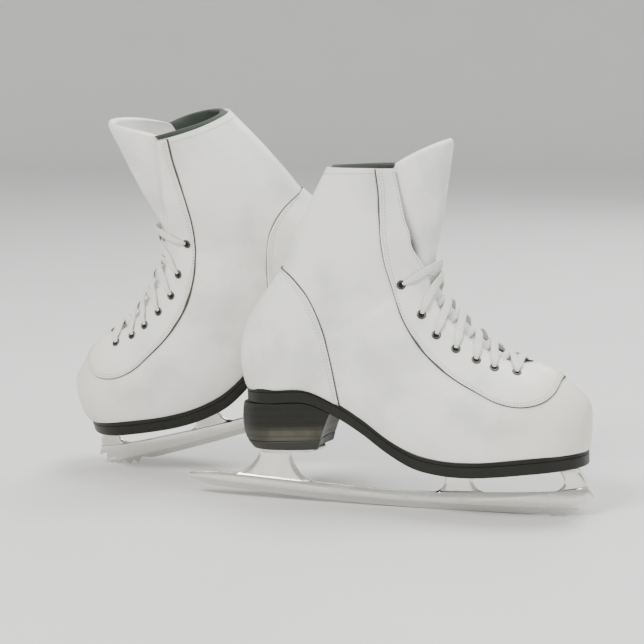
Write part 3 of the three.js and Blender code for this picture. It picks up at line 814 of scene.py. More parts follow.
# Painted shade: a near-black finish on the overlays' cut edges and the rolls along the seams.
EDGE_SHADE = grained(
    "painted_edge_shade", (900, 3), (0.045, 0.048, 0.04), (0.1, 0.1, 0.085),
    (0.2, 0.8, 0.6, 0.85), (0.3, 0.0003), Specular_IOR_Level=0.3,
)
EDGE_PALE = grained(
    "pale_leather_edge", (800, 3), (0.5, 0.49, 0.44), (0.7, 0.69, 0.64),
    (0.2, 0.8, 0.55, 0.8), (0.3, 0.0003), Specular_IOR_Level=0.3,
)
LINING = brushed_lining("brushed_lining", paint(0.022, 0.029, 0.024), paint(0.07, 0.083, 0.07))
BED_CLOTH = brushed_lining("footbed_cloth", paint(0.11, 0.115, 0.1), paint(0.2, 0.205, 0.18))
BOARD = pressed_board()
LACQUER = sole_lacquer("sole_lacquer")
STACKED = sole_lacquer("stacked_heel_lacquer", stacked=True)
RUBBER = tread_rubber()
BRIGHT = bright_plate()
STEEL = ground_runner()
SCREW = grained(
    "satin_screw", (500, 4), (0.62, 0.61, 0.57), (0.45, 0.44, 0.4),
    (0.3, 0.7, 0.24, 0.42), (0.12, 0.0002), Metallic=1.0,
)
WOVEN = woven_lace()
THREAD = grained(
    "seam_thread", (2400, 2), (0.3, 0.295, 0.26), (0.45, 0.44, 0.39),
    (0.2, 0.8, 0.6, 0.8), (0.3, 0.0002), Sheen_Weight=0.2, Specular_IOR_Level=0.3,
)
METAL_DARK = grained(
    "eyelet_metal", (900, 4), (0.06, 0.062, 0.055), (0.14, 0.14, 0.12),
    (0.3, 0.7, 0.28, 0.5), (0.1, 0.0002), Metallic=1.0,
)
HOLE_SHADE = eyelet_shade_disc()


# ---- the upper
NEAR_FORM = 0.3
EYESTAY_SEAM = [
    (122, 172), (124, 151), (124, 130), (124, 112), (126, 92), (132.5, 66), (140.5, 46),
    (153, 27), (165.5, 14.5), (177.5, 5), (192.5, -4), (209.5, -13), (226.5, -17), (242, -15),
    (252, -8), (256.5, 4),
]
COUNTER_SEAM = [
    (26, 96), (42.5, 91), (53.5, 84), (64, 72), (71, 56), (77, 35), (81, 14), (85.5, -20),
]


def upper():
    """The vamp and the quarters, one skin round the foot and the ankle, open at the lacing."""
    throat = THROAT + 0.6 * (1 - np.cos(np.linspace(0, pi / 2, 9)))
    toe = 4.5 * np.linspace(0, 1, 34) ** 1.3
    rows = np.concatenate([[-0.2], toe, throat, np.linspace(5.25, CUFF, 104)])
    last = len(rows) - 1

    def place(s, t):
        u = rows[row_of(t, last)]
        edge = np.where(u <= THROAT, 1, way_at(np.maximum(u, THROAT), gap_half(u)))
        point = surface(np.maximum(u, 0), (2 * s - 1) * edge, 0)
        tip = form_point(np.array(0.0), np.array(0.5)) * [1, 0, 1] + [0.4, 8, 0]
        return np.where((u < 0)[:, None], tip, point)

    piece = skin_outward(weld(net("upper_leather", 132, last, place), 0.02))
    dress(piece, LEATHER_WHITE, LINING, EDGE_PALE)
    thicken(piece, LEATHER, -1, inner=1, rim=2)
    return round_edges(piece, 0.55)


def gap_line(count):
    """The edge of the lacing gap from its lower end to the cuff: station and distance in way."""
    u = THROAT + 0.0001 + (CUFF - THROAT) * np.linspace(0, 1, 400) ** 2
    u, a = by_length(u, way_at(u, gap_half(u)), count)
    a[0] = 1
    return u, 1 - a


def seam_line(count):
    """The eyestay's sewn edge, from where it crosses the instep to the cuff."""
    u, a, miss = on_form(through(EYESTAY_SEAM, 260))
    inside = np.where(miss < NEAR_FORM)[0]
    u, a = u[inside][::-1], a[inside][::-1]
    u, a = np.append(u[0], u), np.append(1, a)
    u, a = np.append(u, CUFF), np.append(a, a[-1])
    u, a = by_length(u, a, count)
    return u, 1 - a


LINE_STEPS = 181
GAP_U, GAP_C = gap_line(LINE_STEPS)
SEAM_U, SEAM_C = seam_line(LINE_STEPS)


def eyestay_at(s, q):
    """Station and way on the eyestay: s from the outer cuff round the throat to the inner cuff,
    q from the edge of the gap to the sewn edge."""
    way = 2 * np.asarray(s) - 1
    r = np.abs(way) * (LINE_STEPS - 1)
    steps = np.arange(LINE_STEPS)
    gu, gc, su, sc = (np.interp(r, steps, line) for line in (GAP_U, GAP_C, SEAM_U, SEAM_C))
    c = gc + (sc - gc) * q
    return gu + (su - gu) * q, hand_of(way) * (1 - c)


def overlay(name, columns, rows, place):
    """A second layer of leather sewn on the upper; its cut edge is near black, painted shade along
    the seam.
    """
    piece = skin_outward(weld(net(name, columns, rows, place), 0.02))
    dress(piece, LEATHER_TRIM, EDGE_SHADE)
    thicken(piece, OVERLAY - 0.1, 1, rim=1)
    return round_edges(piece, 0.4, 60)


def eyestay():
    """The facings with their eyelets, one overlay down both sides of the lacing."""

    def place(s, t):
        return surface(*eyestay_at(s, 1 - t), OVERLAY_SEAT)

    return overlay("eyestay_overlay", 260, 16, place)


def counter_line():
    """The heel counter's sewn edge, from the sole to the back of the ankle."""
    u, a, miss = on_form(through(COUNTER_SEAM, 200))
    keep = (miss < NEAR_FORM) & (over_sole(u, a) > -2.5)
    u, a = u[keep], a[keep]
    order = np.argsort(u)
    return np.append(u[order], u[order][-1] + 0.06), np.append(a[order], 0.02)


COUNTER_U, COUNTER_A = counter_line()


def counter_at(t):
    """Station and way of the counter's sewn edge, t from its low end to its top."""
    u = COUNTER_U[0] + (COUNTER_U[-1] - COUNTER_U[0]) * t
    return u, np.interp(u, COUNTER_U, COUNTER_A)


def heel_counter():
    def place(s, t):
        u, edge = counter_at(np.sin(t * pi / 2))
        return surface(u, edge * (2 * s - 1), OVERLAY_SEAT)

    return overlay("counter_overlay", 90, 70, place)


def bead(name, lines, height=0.55):
    """A near-black roll along a sewn edge that paints the shade line there. Each line is (station,
    way, radius).
    """
    rolls = []
    for u, a, radius in lines:
        points, normals = surface(u, a, height), form_normal(u, a)
        along = unit(np.gradient(points, axis=0))
        beside = unit(np.cross(normals, along))
        out = np.cross(along, beside)
        last = len(points) - 1

        def place(s, t):
            i = row_of(t, last)
            turn = 2 * pi * s[:, None]
            away = beside[i] * np.cos(turn) + out[i] * np.sin(turn)
            return points[i] + radius[i][:, None] * away

        rolls.append(cap(weld(net(name, 8, last, place), 0.002)))
    return outward(joined(name, rolls))


def eyestay_bead():
    s = np.linspace(0.001, 0.999, 620)
    u, a = eyestay_at(s, np.ones_like(s))
    far = np.abs(2 * s - 1)
    press = 0.36 + 0.5 * mound(far, 0.93, 0.14) + 0.62 * mound(far, 0.5, 0.22)
    press += 0.5 * mound(far, 0.0, 0.09)
    return bead("eyestay_shade_line", [(u, a, 1.25 * press * (1 + 0.12 * np.sin(140 * s)))])


def counter_bead():
    t = np.linspace(0.0, 1.0, 260)
    u, a = counter_at(t)
    press = 0.42 + 0.4 * mound(t, 0.95, 0.25) + 0.3 * mound(t, 0.45, 0.3)
    press += 0.2 * mound(t, 0.05, 0.2)
    keep = (a > 0.03) & (over_sole(u, a) > -0.5)
    lines = [(u[keep], hand * a[keep], 1.3 * press[keep]) for hand in (-1, 1)]
    return bead("counter_shade_line", lines)


# ---- stitching
STITCH_PITCH = 2.7
STITCH_LONG = 1.9
STITCH_WIDE = 0.55


def placed(x, y, at):
    """The matrix of a frame with two of its axes, at a place."""
    return Matrix((*zip(x, y, np.cross(x, y), at), (0, 0, 0, 1)))


def frames_along(points, normals, pitch):
    """A frame every pitch along a line: X along it, Z out of the surface."""
    length = length_along(points)
    spots = np.arange(pitch / 2, length[-1], pitch)

    def found(values, spots):
        return np.stack([np.interp(spots, length, column) for column in values.T], -1)

    along = unit(found(points, spots + 0.5) - found(points, spots - 0.5))
    beside = unit(np.cross(unit(found(normals, spots)), along))
    return [placed(x, y, p) for x, y, p in zip(along, beside, found(points, spots))]


def one_stitch():
    stitch = basic("uv_sphere", segments=6, ring_count=4, radius=1)
    at = corners(stitch.data)[:, [2, 0, 1]]
    move_corners(stitch.data, at * np.array([STITCH_LONG, STITCH_WIDE, STITCH_WIDE]) / 2)
    return stitch


def stitching(name, lines):
    """One mesh of stitches along lines of (station, way, height)."""
    frames = []
    for u, a, height in lines:
        frames += frames_along(surface(u, a, height), form_normal(u, a), STITCH_PITCH)
    return outward(repeated(name, one_stitch(), frames))


def eyestay_rows(seam_distances, gap_distance):
    """Rows at distances from the eyestay's sewn edge, then one along the edge of the gap."""
    s = np.linspace(0.004, 0.996, 900)
    gap, seam = (form_point(*eyestay_at(s, np.full_like(s, q))) for q in (0, 1))
    wide = np.linalg.norm(seam - gap, axis=1)
    shares = [1 - distance / wide for distance in seam_distances] + [gap_distance / wide]
    return [(*eyestay_at(s, share), OVERLAY) for share in shares]


def counter_rows(distances):
    """Rows at distances from the counter's sewn edge, on both sides."""
    lines = []
    step = 0.02
    u, a = counter_at(np.linspace(0.02, 0.985, 300))
    girth = np.linalg.norm(form_point(u, a) - form_point(u, a - step), axis=1) / step
    for distance in distances:
        inner = np.maximum(a - distance / girth, 0.0)
        keep = (inner > 0.012) & (over_sole(u, inner) > 1.5)
        lines += [(u[keep], hand * inner[keep], OVERLAY) for hand in (-1, 1)]
    return lines


def cuff_row():
    """One row round the cuff, just under its edge."""
    way = np.linspace(-1, 1, 400)
    u = np.full_like(way, CUFF - 0.16)
    edge = np.interp(CUFF, SEAM_U, 1 - SEAM_C)
    return (u, way * (edge - 0.01), 0.05)


# ---- lining and tongue
def ankle_padding():
    """The padded collar, rising above the cuff and just showing along the facings."""
    over = form_point(np.array(CUFF), np.array(0)) - form_point(np.array(CUFF - 0.5), np.array(0))
    up = unit(over + np.array([6.0, 0, 0]))
    low = 13.2
    outer = [(u, 0, LINING_AT) for u in np.linspace(low, CUFF, 26)]
    turn = np.linspace(0, pi, 11)[1:-1]
    half = PADDING / 2
    crown = [
        (CUFF, LINING_RISE - half + half * sin(a), LINING_AT - half + half * cos(a)) for a in turn
    ]
    inner = [(u, r, o - PADDING * (1 - 0.35 * mound(u, low, 1.2))) for u, r, o in reversed(outer)]
    profile = np.array(outer + crown + inner)
    last = len(profile) - 1

    def place(s, t):
        u, rise, offset = profile[row_of(t, last)].T
        edge = way_at(u, gap_half(u) - 0.9)
        way = 2 * s - 1
        thin = np.sqrt(np.clip(1 - np.abs(way) ** 24, 0, 1))
        middle = LINING_AT - half
        offset = middle + (offset - middle) * (0.25 + 0.75 * thin)
        folds = 0.35 * np.sin(16 * pi * s) * smooth(14, CUFF, u) * (offset < middle)
        point = surface(u, way * edge, offset + folds)
        return point + up * rise[:, None]

    return outward(weld(cap(net("ankle_collar", 120, last, place)), 0.01))


TONGUE_STATIONS = Curve(
    [(0, 3.7), (0.1, 5.2), (0.25, 7.4), (0.4, 9.6), (0.5, 12.5), (0.56, 15.5), (1, 17)]
)
TONGUE_HALF = Curve([(0, 15), (0.1, 23), (0.3, 23), (0.42, 20), (0.5, 16.5), (0.56, 15)])
# Height above the bend, front x, half width, depth from the front to the wings' tips, tips' drop.
FLAP = [
    (-34, 166, 17, 13, -5), (-16, 161, 15, 13, -5), (0, 160, 14, 14, -6), (10, 162.5, 15.5, 18, -5),
    (28, 167, 20.5, 29, -2), (50, 171, 25, 38, 2), (70, 174.5, 26, 40, 7), (84, 177, 25.5, 40, 12),
    (92, 178, 24, 38, 17),
]
FLAP_CURVES = [Curve([(row[0], row[k]) for row in FLAP]) for k in range(1, 5)]
FLAP_TURN = radians(96)


def tongue_point(v, way, inward):
    """v runs up the tongue from the throat to the top, way from wing to wing."""
    half = TONGUE_HALF(v)
    y = half * way
    u = TONGUE_STATIONS(v)
    a = hand_of(y) * way_at(u, y)
    under = surface(u, a, -LEATHER - 0.35 - inward)
    up = np.interp(v, [0.4, 0.5, 0.56, 1], [-34, -14, 0, 92])
    front, wide, depth, drop = (curve(up) for curve in FLAP_CURVES)
    turn = FLAP_TURN * way
    x = front - inward - (depth - inward) * (1 - np.cos(turn))
    z = TONGUE_BEND.z + up - drop * way**2
    free = np.stack([x, (wide - inward) * np.sin(turn), z], -1)
    share = smooth(0.42, 0.55, v)[..., None]
    return under * (1 - share) + free * share


def tongue():
    """One padded leather tongue, from under the laces up over the cuff and forward."""

    def place(s, t):
        way = squarer(np.cos(2 * pi * s), 0.8)
        face = squarer(np.sin(2 * pi * s), 0.55)
        v = np.sin(t * pi / 2) ** 0.9
        ends = np.sqrt(np.clip(1 - smooth(0.975, 1, v) ** 2, 0, 1)) * np.sqrt(smooth(0, 0.02, v))
        inward = TONGUE_PAD / 2 * (1 - face * ends)
        soft = 0.5 * mound(np.abs(way), 0.35, 0.35) * mound(v, 0.8, 0.15)
        return tongue_point(v, way * (1 - 0.03 * (1 - ends)), inward + soft * np.sin(9 * way))

    return outward(cap(weld(net("padded_tongue", 96, 130, place), 0.01)))


# ---- lace and eyelets
def eyelet_spot(row, hand):
    """Station and half width of an eyelet."""
    u = LACE_ROWS[row]
    return u, hand * float(gap_half(u) + EYELET_SETBACK)


def ribbon_place(points, normals, tied):
    """A flat lace round a line of points, with rounded edges."""
    along = unit(np.gradient(points, axis=0))
    beside = unit(np.cross(normals, along))
    out = np.cross(along, beside)

    def place(s, t):
        i = row_of(t, len(points) - 1)
        gather = 1 - 0.5 * smooth(0.13, 0, t) - 0.5 * smooth(0.87, 1, t) * tied
        wide = squarer(np.cos(2 * pi * s), 0.55) * LACE_WIDE / 2 * gather
        high = squarer(np.sin(2 * pi * s), 0.7) * LACE_THICK / 2
        return points[i] + beside[i] * wide[:, None] + out[i] * high[:, None]

    return place


def strand(name, start, end, heights, tied=0, steps=60):
    """A stretch of lace between two places of (station, half width), at heights along it."""
    w = np.linspace(0, 1, steps + 1)
    u = start[0] + (end[0] - start[0]) * w
    y = start[1] + (end[1] - start[1]) * w
    a = hand_of(y) * way_at(u, y)
    height = Curve(heights)(w)
    points = form_point(u, a) + form_normal(u, a) * height[:, None]
    points[1:-1] = (points[:-2] + 2 * points[1:-1] + points[2:]) / 4
    piece = net(name, 16, steps, ribbon_place(points, form_normal(u, a), tied))
    tile_uv(piece, LACE_GIRTH, length_along(points)[-1] / 1000)
    return cap(weld(piece, 0.01))


def lace():
    """A bar across the first and the last pair of eyelets, and crossed strands between the rows."""
    over = OVERLAY + LACE_THICK / 2 + 0.25
    strands = []
    for row in (0, len(LACE_ROWS) - 1):
        bar = [(0, 0.6), (0.05, over + 0.7), (0.15, over), (0.5, over - 0.6)]
        bar += [(1 - w, h) for w, h in reversed(bar[:-1])]
        strands.append(strand("bar", eyelet_spot(row, -1), eyelet_spot(row, 1), bar, 1))
    for row in range(len(LACE_ROWS) - 1):
        for hand in (-1, 1):
            start, end = eyelet_spot(row, hand), eyelet_spot(row + 1, -hand)
            under = hand * (-1 if row % 2 else 1) * 0.9
            dive = [
                (0, 0.6), (0.05, over + 0.8), (0.16, over), (0.32, over), (0.5, 1.1 + under),
                (0.74, -2.2), (0.86, -3.6), (1, -3.4),
            ]
            strands.append(strand("cross", start, end, dive))
    return outward(joined("flat_lace", strands))


def eyelets():
    """A rolled metal ring in each place, round a near-black disc of painted shade in its hole."""
    ring = basic(
        "torus", major_segments=28, minor_segments=10, major_radius=2.9, minor_radius=0.85
    )
    # A near-black disc inside the ring paints the shade in the hole.
    hole = basic("cylinder", vertices=28, radius=2.4, depth=0.5, location=(0, 0, 0.02))
    round_edges(hole, 0.08)
    dress(ring, METAL_DARK, HOLE_SHADE)
    dress(hole, METAL_DARK, HOLE_SHADE)
    hole.data.polygons.foreach_set("material_index", [1] * len(hole.data.polygons))
    joined("ring", [ring, hole])
    at = corners(ring.data)
    at[:, 2] *= 0.75
    move_corners(ring.data, at)
    frames = []
    for row in range(len(LACE_ROWS)):
        for hand in (-1, 1):
            u, y = eyelet_spot(row, hand)
            a = np.array(hand * float(way_at(u, y)))
            at = surface(np.array(u), a, np.array(OVERLAY + 0.1))
            out = form_normal(np.array(u), a)
            side = unit(np.cross(out, np.array([0.3, 0, 1.0])))
            frames.append(placed(side, np.cross(out, side), at))
    return repeated("eyelets", ring, frames)


# ---- sole and heel
def plan_outline(low, high, half, count, inset):
    """An outline in the plan, moved in by inset, from the toe end round the inner side. It is
    half(x) wide on each side of the foot's centre line."""
    s = np.arange(count) / count
    x = low + (high - low) * (1 + np.cos(2 * pi * s)) / 2
    outline = np.column_stack([x, np.where(s < 0.5, 1, -1) * half(x)])
    along = unit(np.roll(outline, -1, 0) - np.roll(outline, 1, 0))
    outline = outline - np.column_stack([along[:, 1], -along[:, 0]]) * inset
    return outline + np.column_stack([np.zeros(count), swing_at(outline[:, 0])])


def slab(name, low, high, half, ends, levels, height, count):
    """A flat piece with a shaped edge, half(x) wide on each side from low to high. Each level is
    (share of the way out from the spine, inset, height over the reference height)."""
    rings = []
    for share, inset, lift in levels:
        outline = plan_outline(low, high, half, count, inset)
        spine_x = np.clip(outline[:, 0], *ends)
        spine = np.column_stack([spine_x, swing_at(spine_x)])
        at = spine + (outline - spine) * share
        rings.append(np.column_stack([at, height(at[:, 0]) + lift]))
    return lofted(name, rings)


def flat_levels(top, bottom, bevel, groove=None, inset=0.0):
    """The edge of a slab: flat faces, round corners and a groove, if it has one."""
    turns = (0, pi / 6, pi / 3, pi / 2)
    corner = [(inset + bevel * (1 - sin(a)), -bevel * (1 - cos(a))) for a in turns]
    levels = [(k, inset + bevel, top) for k in (0, 0.25, 0.5, 0.75, 0.93)]
    levels += [(1, i, top + drop) for i, drop in corner]
    if groove:
        levels += [
            (1, inset, top - groove + 0.35), (1, inset + 0.6, top - groove + 0.1),
            (1, inset + 0.6, top - groove - 0.1), (1, inset, top - groove - 0.35),
        ]
    levels += [(1, inset, bottom + bevel + 0.01)]
    levels += [(1, i, bottom - drop) for i, drop in reversed(corner)]
    levels += [(k, inset + bevel, bottom) for k in (0.93, 0.75, 0.5, 0.25, 0)]
    return levels


def sole_slab(name, levels):
    return slab(name, HEEL_END, TOE_END, sole_half, (45, 215), levels, sole_top, 240)


def outsole():
    return sole_slab("leather_sole", flat_levels(-0.15, -SOLE_THICK, 1.0, groove=3.6))


def footbed():
    low = BOARD_THICK + CLEARANCE
    inset = WELT + LEATHER + 0.8
    return sole_slab("soft_footbed", flat_levels(low + BED_THICK, low, 0.8, inset=inset))


def below_sole(x):
    """The height just under the sole at x, where the next piece down starts."""
    return sole_top(x) - SOLE_THICK - CLEARANCE


heel_back = Curve([(-50, 6.5), (-43, 1.5), (-34, -1), (-20, -1), (0, 3)])
HEEL_TAPER = 0.06
HEEL_CENTRE = np.array([32.0, 0.0])
BREAST_SHARE = 0.14
BREAST_HOLLOW = 2.2


def heel_point(s, z):
    """A point round the heel at height z: s from the middle of the breast round the back."""
    back = heel_back(z)
    front = BREAST_BOTTOM + (z + HEEL_DROP) * BREAST_RAKE
    stops = [0, BREAST_SHARE, 1 - BREAST_SHARE, 1]
    turn = (1 + np.interp(s, stops, [-1, -1, 1, 1])) * pi / 2
    on_breast = (s < stops[1]) | (s > stops[2])
    x = back + (front - back) * np.abs(np.cos(turn)) ** 1.35
    x = np.where(on_breast, front, x)
    round_back = np.clip((back + HEEL_ROUND - x) / HEEL_ROUND, 0, 1)
    half = (sole_width(x) - 0.5 + z * HEEL_TAPER) * np.sqrt(1 - round_back**2)
    breast = np.interp(s, stops, [0, 1, 1, 0])
    y = np.where(s < 0.5, 1, -1) * half * breast
    x = x - BREAST_HOLLOW * np.where(on_breast, 1 - breast**2, 0)
    return np.stack([x, y, z], -1)


def heel_solid(name, low, high, bevel, waves=0.0, under_sole=False):
    """A slice of the heel between two heights, or up to the sole, with rounded edges. The waves
    are the shallow grooves between its layers."""
    count = 200
    rise = np.concatenate([[0, 0.25, 0.6], np.linspace(1, 20, 30), [20.4, 20.7]]) / 20.7
    shares = (0.0, 0.5, 0.9)
    rows = [(0, k) for k in shares] + [(r, 1) for r in rise] + [(1, k) for k in reversed(shares)]

    def ring(r):
        at = heel_point(np.arange(count) / count, np.full(count, low + (high - low) * r))
        if under_sole:
            at[:, 2] = low + (below_sole(at[:, 0]) - low) * r
        near = np.minimum(r, 1 - r) * (high - low)
        tuck = bevel * (1 - np.sqrt(1 - (1 - np.clip(near / bevel, 0, 1)) ** 2))
        wave = 0.5 + 0.5 * np.cos(2 * pi * (at[:, 2] - low) / LIFT_PITCH)
        out = unit(at[:, :2] - HEEL_CENTRE)
        at[:, :2] -= out * (tuck + waves * wave**8)[:, None]
        return at

    rings = []
    for r, share in rows:
        at = ring(r)
        if share < 1:
            at[:, :2] = HEEL_CENTRE + (at[:, :2] - HEEL_CENTRE) * share
            if r == 1 and under_sole:
                at[:, 2] = below_sole(at[:, 0])
        rings.append(at)
    return lofted(name, rings)


# ---- blade
sole_plate_half = Curve(
    [(160, 8), (166, 17), (178, 23), (203, 25), (233, 24), (253, 19), (265, 10)]
)
heel_plate_half = Curve([(13, 9), (18, 16), (32, 20), (50, 21), (60, 17), (64, 10)])
PLATE_ROUND = 7


def plate(name, low, high, half, spine, drop, height):
    """A plate half(x) wide on each side from low to high, with round ends, drop below height(x)."""

    def round_half(x):
        ends = np.clip(np.minimum(x - low, high - x) / PLATE_ROUND, 0, 1)
        return half(x) * np.sqrt(1 - (1 - ends) ** 2)

    top = -drop - CLEARANCE
    levels = flat_levels(top, top - PLATE_THICK, 0.7)
    return slab(name, low, high, round_half, spine, levels, height, 160)


def sole_plate():
    return plate(
        "bright_sole_plate", 159, 266, sole_plate_half, (175, 250), SOLE_THICK, sole_top
    )


def heel_plate():
    return plate(
        "bright_heel_plate", 12, 65, heel_plate_half, (26, 52), HEEL_DROP, np.zeros_like
    )


def ice_at(x):
    """The height of the ice under x when the skate stands."""
    return REST[1] - np.tan(radians(REST_TILT)) * (x - REST[0])


def rocker(x):
    """The height of the blade's curved edge."""
    return ice_at(x) + (x - REST[0]) ** 2 / (2 * ROCKER_RADIUS)


runner_top = Curve(
    [(-50.5, -70.5), (-24.5, -71), (16.5, -74.5), (57, -79.5), (108.5, -85), (159.5, -88),
     (201, -88.5), (242, -88), (265, -86), (274, -84.5)]
)
PICK_TEETH = [
    (273.5, -86), (277, -92), (270.5, -91.5), (272, -98.5), (265, -96.5), (264, -103),
    (256.5, -100.5), (253.5, -106), (248, -103),
]


def runner():
    """The blade: rocker below, a drag tooth and the picks in front, and a long upswept tail."""
    below = [(x, rocker(x)) for x in np.linspace(228, -34, 90)]
    tail = [(-40, rocker(-40) + 1.2), (-45, rocker(-45) + 2.6)]
    tail += [(-49, -76.2), (-51, -73.6), (-49.6, -71)]
    top = [(x, float(runner_top(x))) for x in np.linspace(-46, 268, 90)]
    front = [(271, float(runner_top(271))), *PICK_TEETH, (245, ice_at(245)), (240, rocker(240) + 3)]
    front.append((233, rocker(233) + 0.7))
    outline = [(float(x), float(z)) for x, z in front + below + tail + top]
    piece = plate_from("blade", outline, -RUNNER_THICK / 2, RUNNER_THICK / 2)
    return round_edges(piece, 0.35, 40)


def stanchion(name, rear, front):
    """An upright between the runner and a plate. rear and front are its edges in the side view."""
    rows = 30
    rear, front = through(rear, rows + 1), through(front, rows + 1)

    def place(s, t):
        i = row_of(t, rows)
        share = 0.5 + 0.5 * squarer(np.cos(2 * pi * s), 0.45)
        thick = STANCHION_THICK / 2 + 1.1 * smooth(0.82, 1, t) ** 1.5 + 0.5 * smooth(0.14, 0, t)
        at = rear[i] + (front[i] - rear[i]) * share[:, None]
        return np.column_stack([at[:, 0], thick * squarer(np.sin(2 * pi * s), 0.5), at[:, 1]])

    return outward(cap(weld(net(name, 56, rows, place), 0.005)))


def stanchions():
    """The three uprights, by where each one stands."""
    top = -HEEL_DROP - CLEARANCE - PLATE_THICK + 0.1
    rear = [(-17, -72), (-9, -71.2), (-1, -68), (5, -63), (9, -57.5), (10.5, top)]
    front = [(63, -80.8), (53, -78.6), (45.5, -74.3), (40, -68), (36.8, -60), (36, top)]
    yield "rear", rear, front
    top = below_sole(175) - PLATE_THICK
    rear = [(151, -88), (156.5, -85.8), (160, -82), (161, -78), (159.5, -74.5), (157.5, top + 0.9)]
    front = [(192, -88.6), (187, -86.3), (184, -82.5), (182.5, -78), (185, -74.5), (190, top + 0.2)]
    yield "middle", rear, front
    top = below_sole(258) - PLATE_THICK + 0.2
    rear = [(246, -88), (250.5, -86), (254, -82.5), (254.6, -78), (252.4, -74), (250, top)]
    front = [(273.5, -85), (272.2, -83), (271.8, -80), (270.6, -76.5), (268.4, -73), (266, top)]
    yield "toe", rear, front


def screw():
    """A domed head, face down, with a cross recess, and the shank above it."""
    head = basic("cylinder", vertices=36, radius=SCREW_HEAD, depth=1.7, location=(0, 0, -0.85))
    at = corners(head.data)
    at[:, :2] *= np.where(at[:, 2] < -1, 0.82, 1)[:, None]
    move_corners(head.data, at)
    round_edges(head, 0.45, 40, 3)
    for turn in (0, pi / 2):
        slot = basic("cube", size=1, location=(0, 0, -1.7), rotation=(0, 0, turn + 0.4))
        slot.scale = (4.4, 0.95, 1.7)
        shape(head, "BOOLEAN", object=slot, operation="DIFFERENCE", solver="EXACT")
        bpy.data.objects.remove(slot)
    shank = basic("cylinder", vertices=20, radius=1.9, depth=6, location=(0, 0, 3))
    return joined("screw", [head, shank])


def screws():
    """One screw for each hole in the plates."""
    model = screw()
    for group, places in {"sole": SOLE_SCREWS, "heel": HEEL_SCREWS}.items():
        spots = [(x, y) for x, half in places for y in (-half, half)]
        for number, (x, y) in enumerate(spots, 1):
            low = float(below_sole(x)) if group == "sole" else -HEEL_DROP - CLEARANCE
            place = (x, y + float(swing_at(x)), low - PLATE_THICK - 0.02)
            copy = bpy.data.objects.new(f"{group}_screw_head_{number}", model.data.copy())
            bpy.context.collection.objects.link(copy)
            copy.data.transform(Matrix.Translation(place))
            deliver(copy, SCREW, [f"{group}_screw_{number}"])
    bpy.data.objects.remove(model)


# ---- assembly
deliver(upper(), None, ["vamp", "quarter_outer", "quarter_inner"])
deliver(eyestay(), None, ["eyestay_outer", "eyestay_inner"])
deliver(heel_counter(), None, ["heel_counter"])
# Near-black rolls along the sewn edges: painted shade lines.
deliver(eyestay_bead(), EDGE_SHADE)
deliver(counter_bead(), EDGE_SHADE)
deliver(stitching("eyestay_stitching", eyestay_rows((2.0, 4.2), 2.2)), THREAD)
deliver(stitching("counter_stitching", counter_rows((2.0, 4.2))), THREAD)
deliver(stitching("cuff_stitching", [cuff_row()]), THREAD)
deliver(ankle_padding(), LINING, ["ankle_padding"])
deliver(
    tongue(), TONGUE_LEATHER, ["tongue_base", "tongue_flap"],
    bend=((161, 0, 96), (161, 0, 120)),
)
deliver(lace(), WOVEN, ["lace"], angle=60)
deliver(eyelets(), None)
deliver(outsole(), LACQUER, ["outsole"])
deliver(footbed(), BED_CLOTH, ["footbed"])
LIFT_TOP = -HEEL_DROP + LIFT_THICK
stack = heel_solid("stacked_heel", LIFT_TOP + 0.12, float(below_sole(0)), 0.35, 0.18, True)
deliver(stack, STACKED, ["heel_block"])
deliver(heel_solid("heel_tip", -HEEL_DROP, LIFT_TOP, 1.0), RUBBER, ["heel_lift"])
deliver(sole_plate(), BRIGHT, ["sole_plate"])
deliver(heel_plate(), BRIGHT, ["heel_plate"])
deliver(runner(), STEEL, ["runner"])
for where, rear, front in stanchions():
    upright = stanchion(f"{where}_post", rear, front)
    deliver(upright, BRIGHT, [f"{where}_stanchion"])
screws()
for side in STANCES:
    board = frame["nodes"][f"{side}_insole_board"]
    board.data.materials.clear()
    dress(board, BOARD)


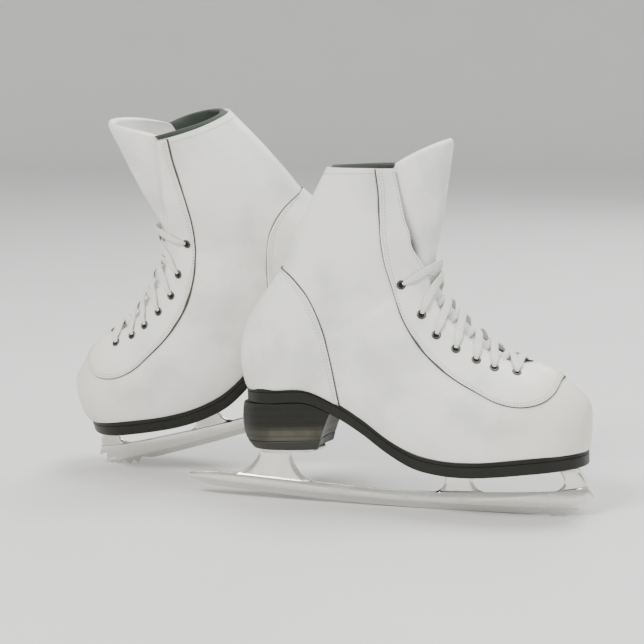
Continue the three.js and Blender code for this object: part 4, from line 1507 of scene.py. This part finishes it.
# ---- studio
def studio():
    """The floor, four soft lights and a pale sky."""
    reach, bend, whole = 4.0, 1.0, 6.6

    def bowl(s, t):
        """A round floor whose rim curves up into a low wall on all sides."""
        run = whole * t
        turn = np.clip((run - reach) / bend, 0, pi / 2)
        radius = np.minimum(run, reach) + bend * np.sin(turn)
        up = bend * (1 - np.cos(turn)) + np.maximum(run - reach - bend * pi / 2, 0)
        return np.column_stack([radius * np.cos(2 * pi * s), radius * np.sin(2 * pi * s), up])

    floor = weld(net("studio_floor", 96, 66, bowl), 0.0001)
    if sum(face.normal.z for face in floor.data.polygons) < 0:
        floor.data.flip_normals()
    smooth_shade(floor)
    look = Look("pale_floor", Specular_IOR_Level=0.25)
    grain = look.noise(look.add("ShaderNodeTexCoord", out="Object"), 6, 3)
    colour = look.mix(grain, paint(0.66, 0.655, 0.645), paint(0.69, 0.685, 0.675))
    dress(floor, look.finish(Base_Color=colour, Roughness=look.step(grain, 0, 1, 0.6, 0.75)))
    lights = [
        ("key", (-1.3, -1.7, 2.1), 1.0, 88, (1.0, 0.985, 0.96)),
        ("fill", (2.0, -1.5, 0.9), 1.6, 18, (0.96, 0.98, 1.0)),
        ("top", (0.5, 0.4, 2.3), 1.2, 46, (1.0, 1.0, 1.0)),
        ("back", (0.9, 2.0, 1.4), 1.2, 20, (1.0, 1.0, 1.0)),
    ]
    for name, place, size, power, colour in lights:
        data = bpy.data.lights.new(name, "AREA")
        data.shape = "DISK"
        data.size = size
        data.energy = power
        data.color = colour
        lamp = bpy.data.objects.new(name, data)
        lamp.location = place
        aim = Vector((0, 0, 0.12)) - Vector(place)
        lamp.rotation_euler = aim.to_track_quat("-Z", "Y").to_euler()
        bpy.context.collection.objects.link(lamp)
    world = bpy.data.worlds.new("studio")
    bpy.context.scene.world = world
    world.use_nodes = True
    sky = world.node_tree.nodes["Background"].inputs
    sky["Color"].default_value = paint(0.86, 0.87, 0.88)
    sky["Strength"].default_value = 0.9


def camera():
    """Level with the boots and a little above, looking straight across the pair."""
    elevation = radians(8.5)
    distance = 1.55
    middle = Vector((0, 0, 0.138))
    data = bpy.data.cameras.new("camera")
    data.lens = 106
    data.sensor_width = 36
    eye = bpy.data.objects.new("camera", data)
    eye.location = middle + Vector((0, -distance * cos(elevation), distance * sin(elevation)))
    eye.rotation_euler = (pi / 2 - elevation, 0, 0)
    bpy.context.collection.objects.link(eye)
    bpy.context.scene.camera = eye


studio()
camera()
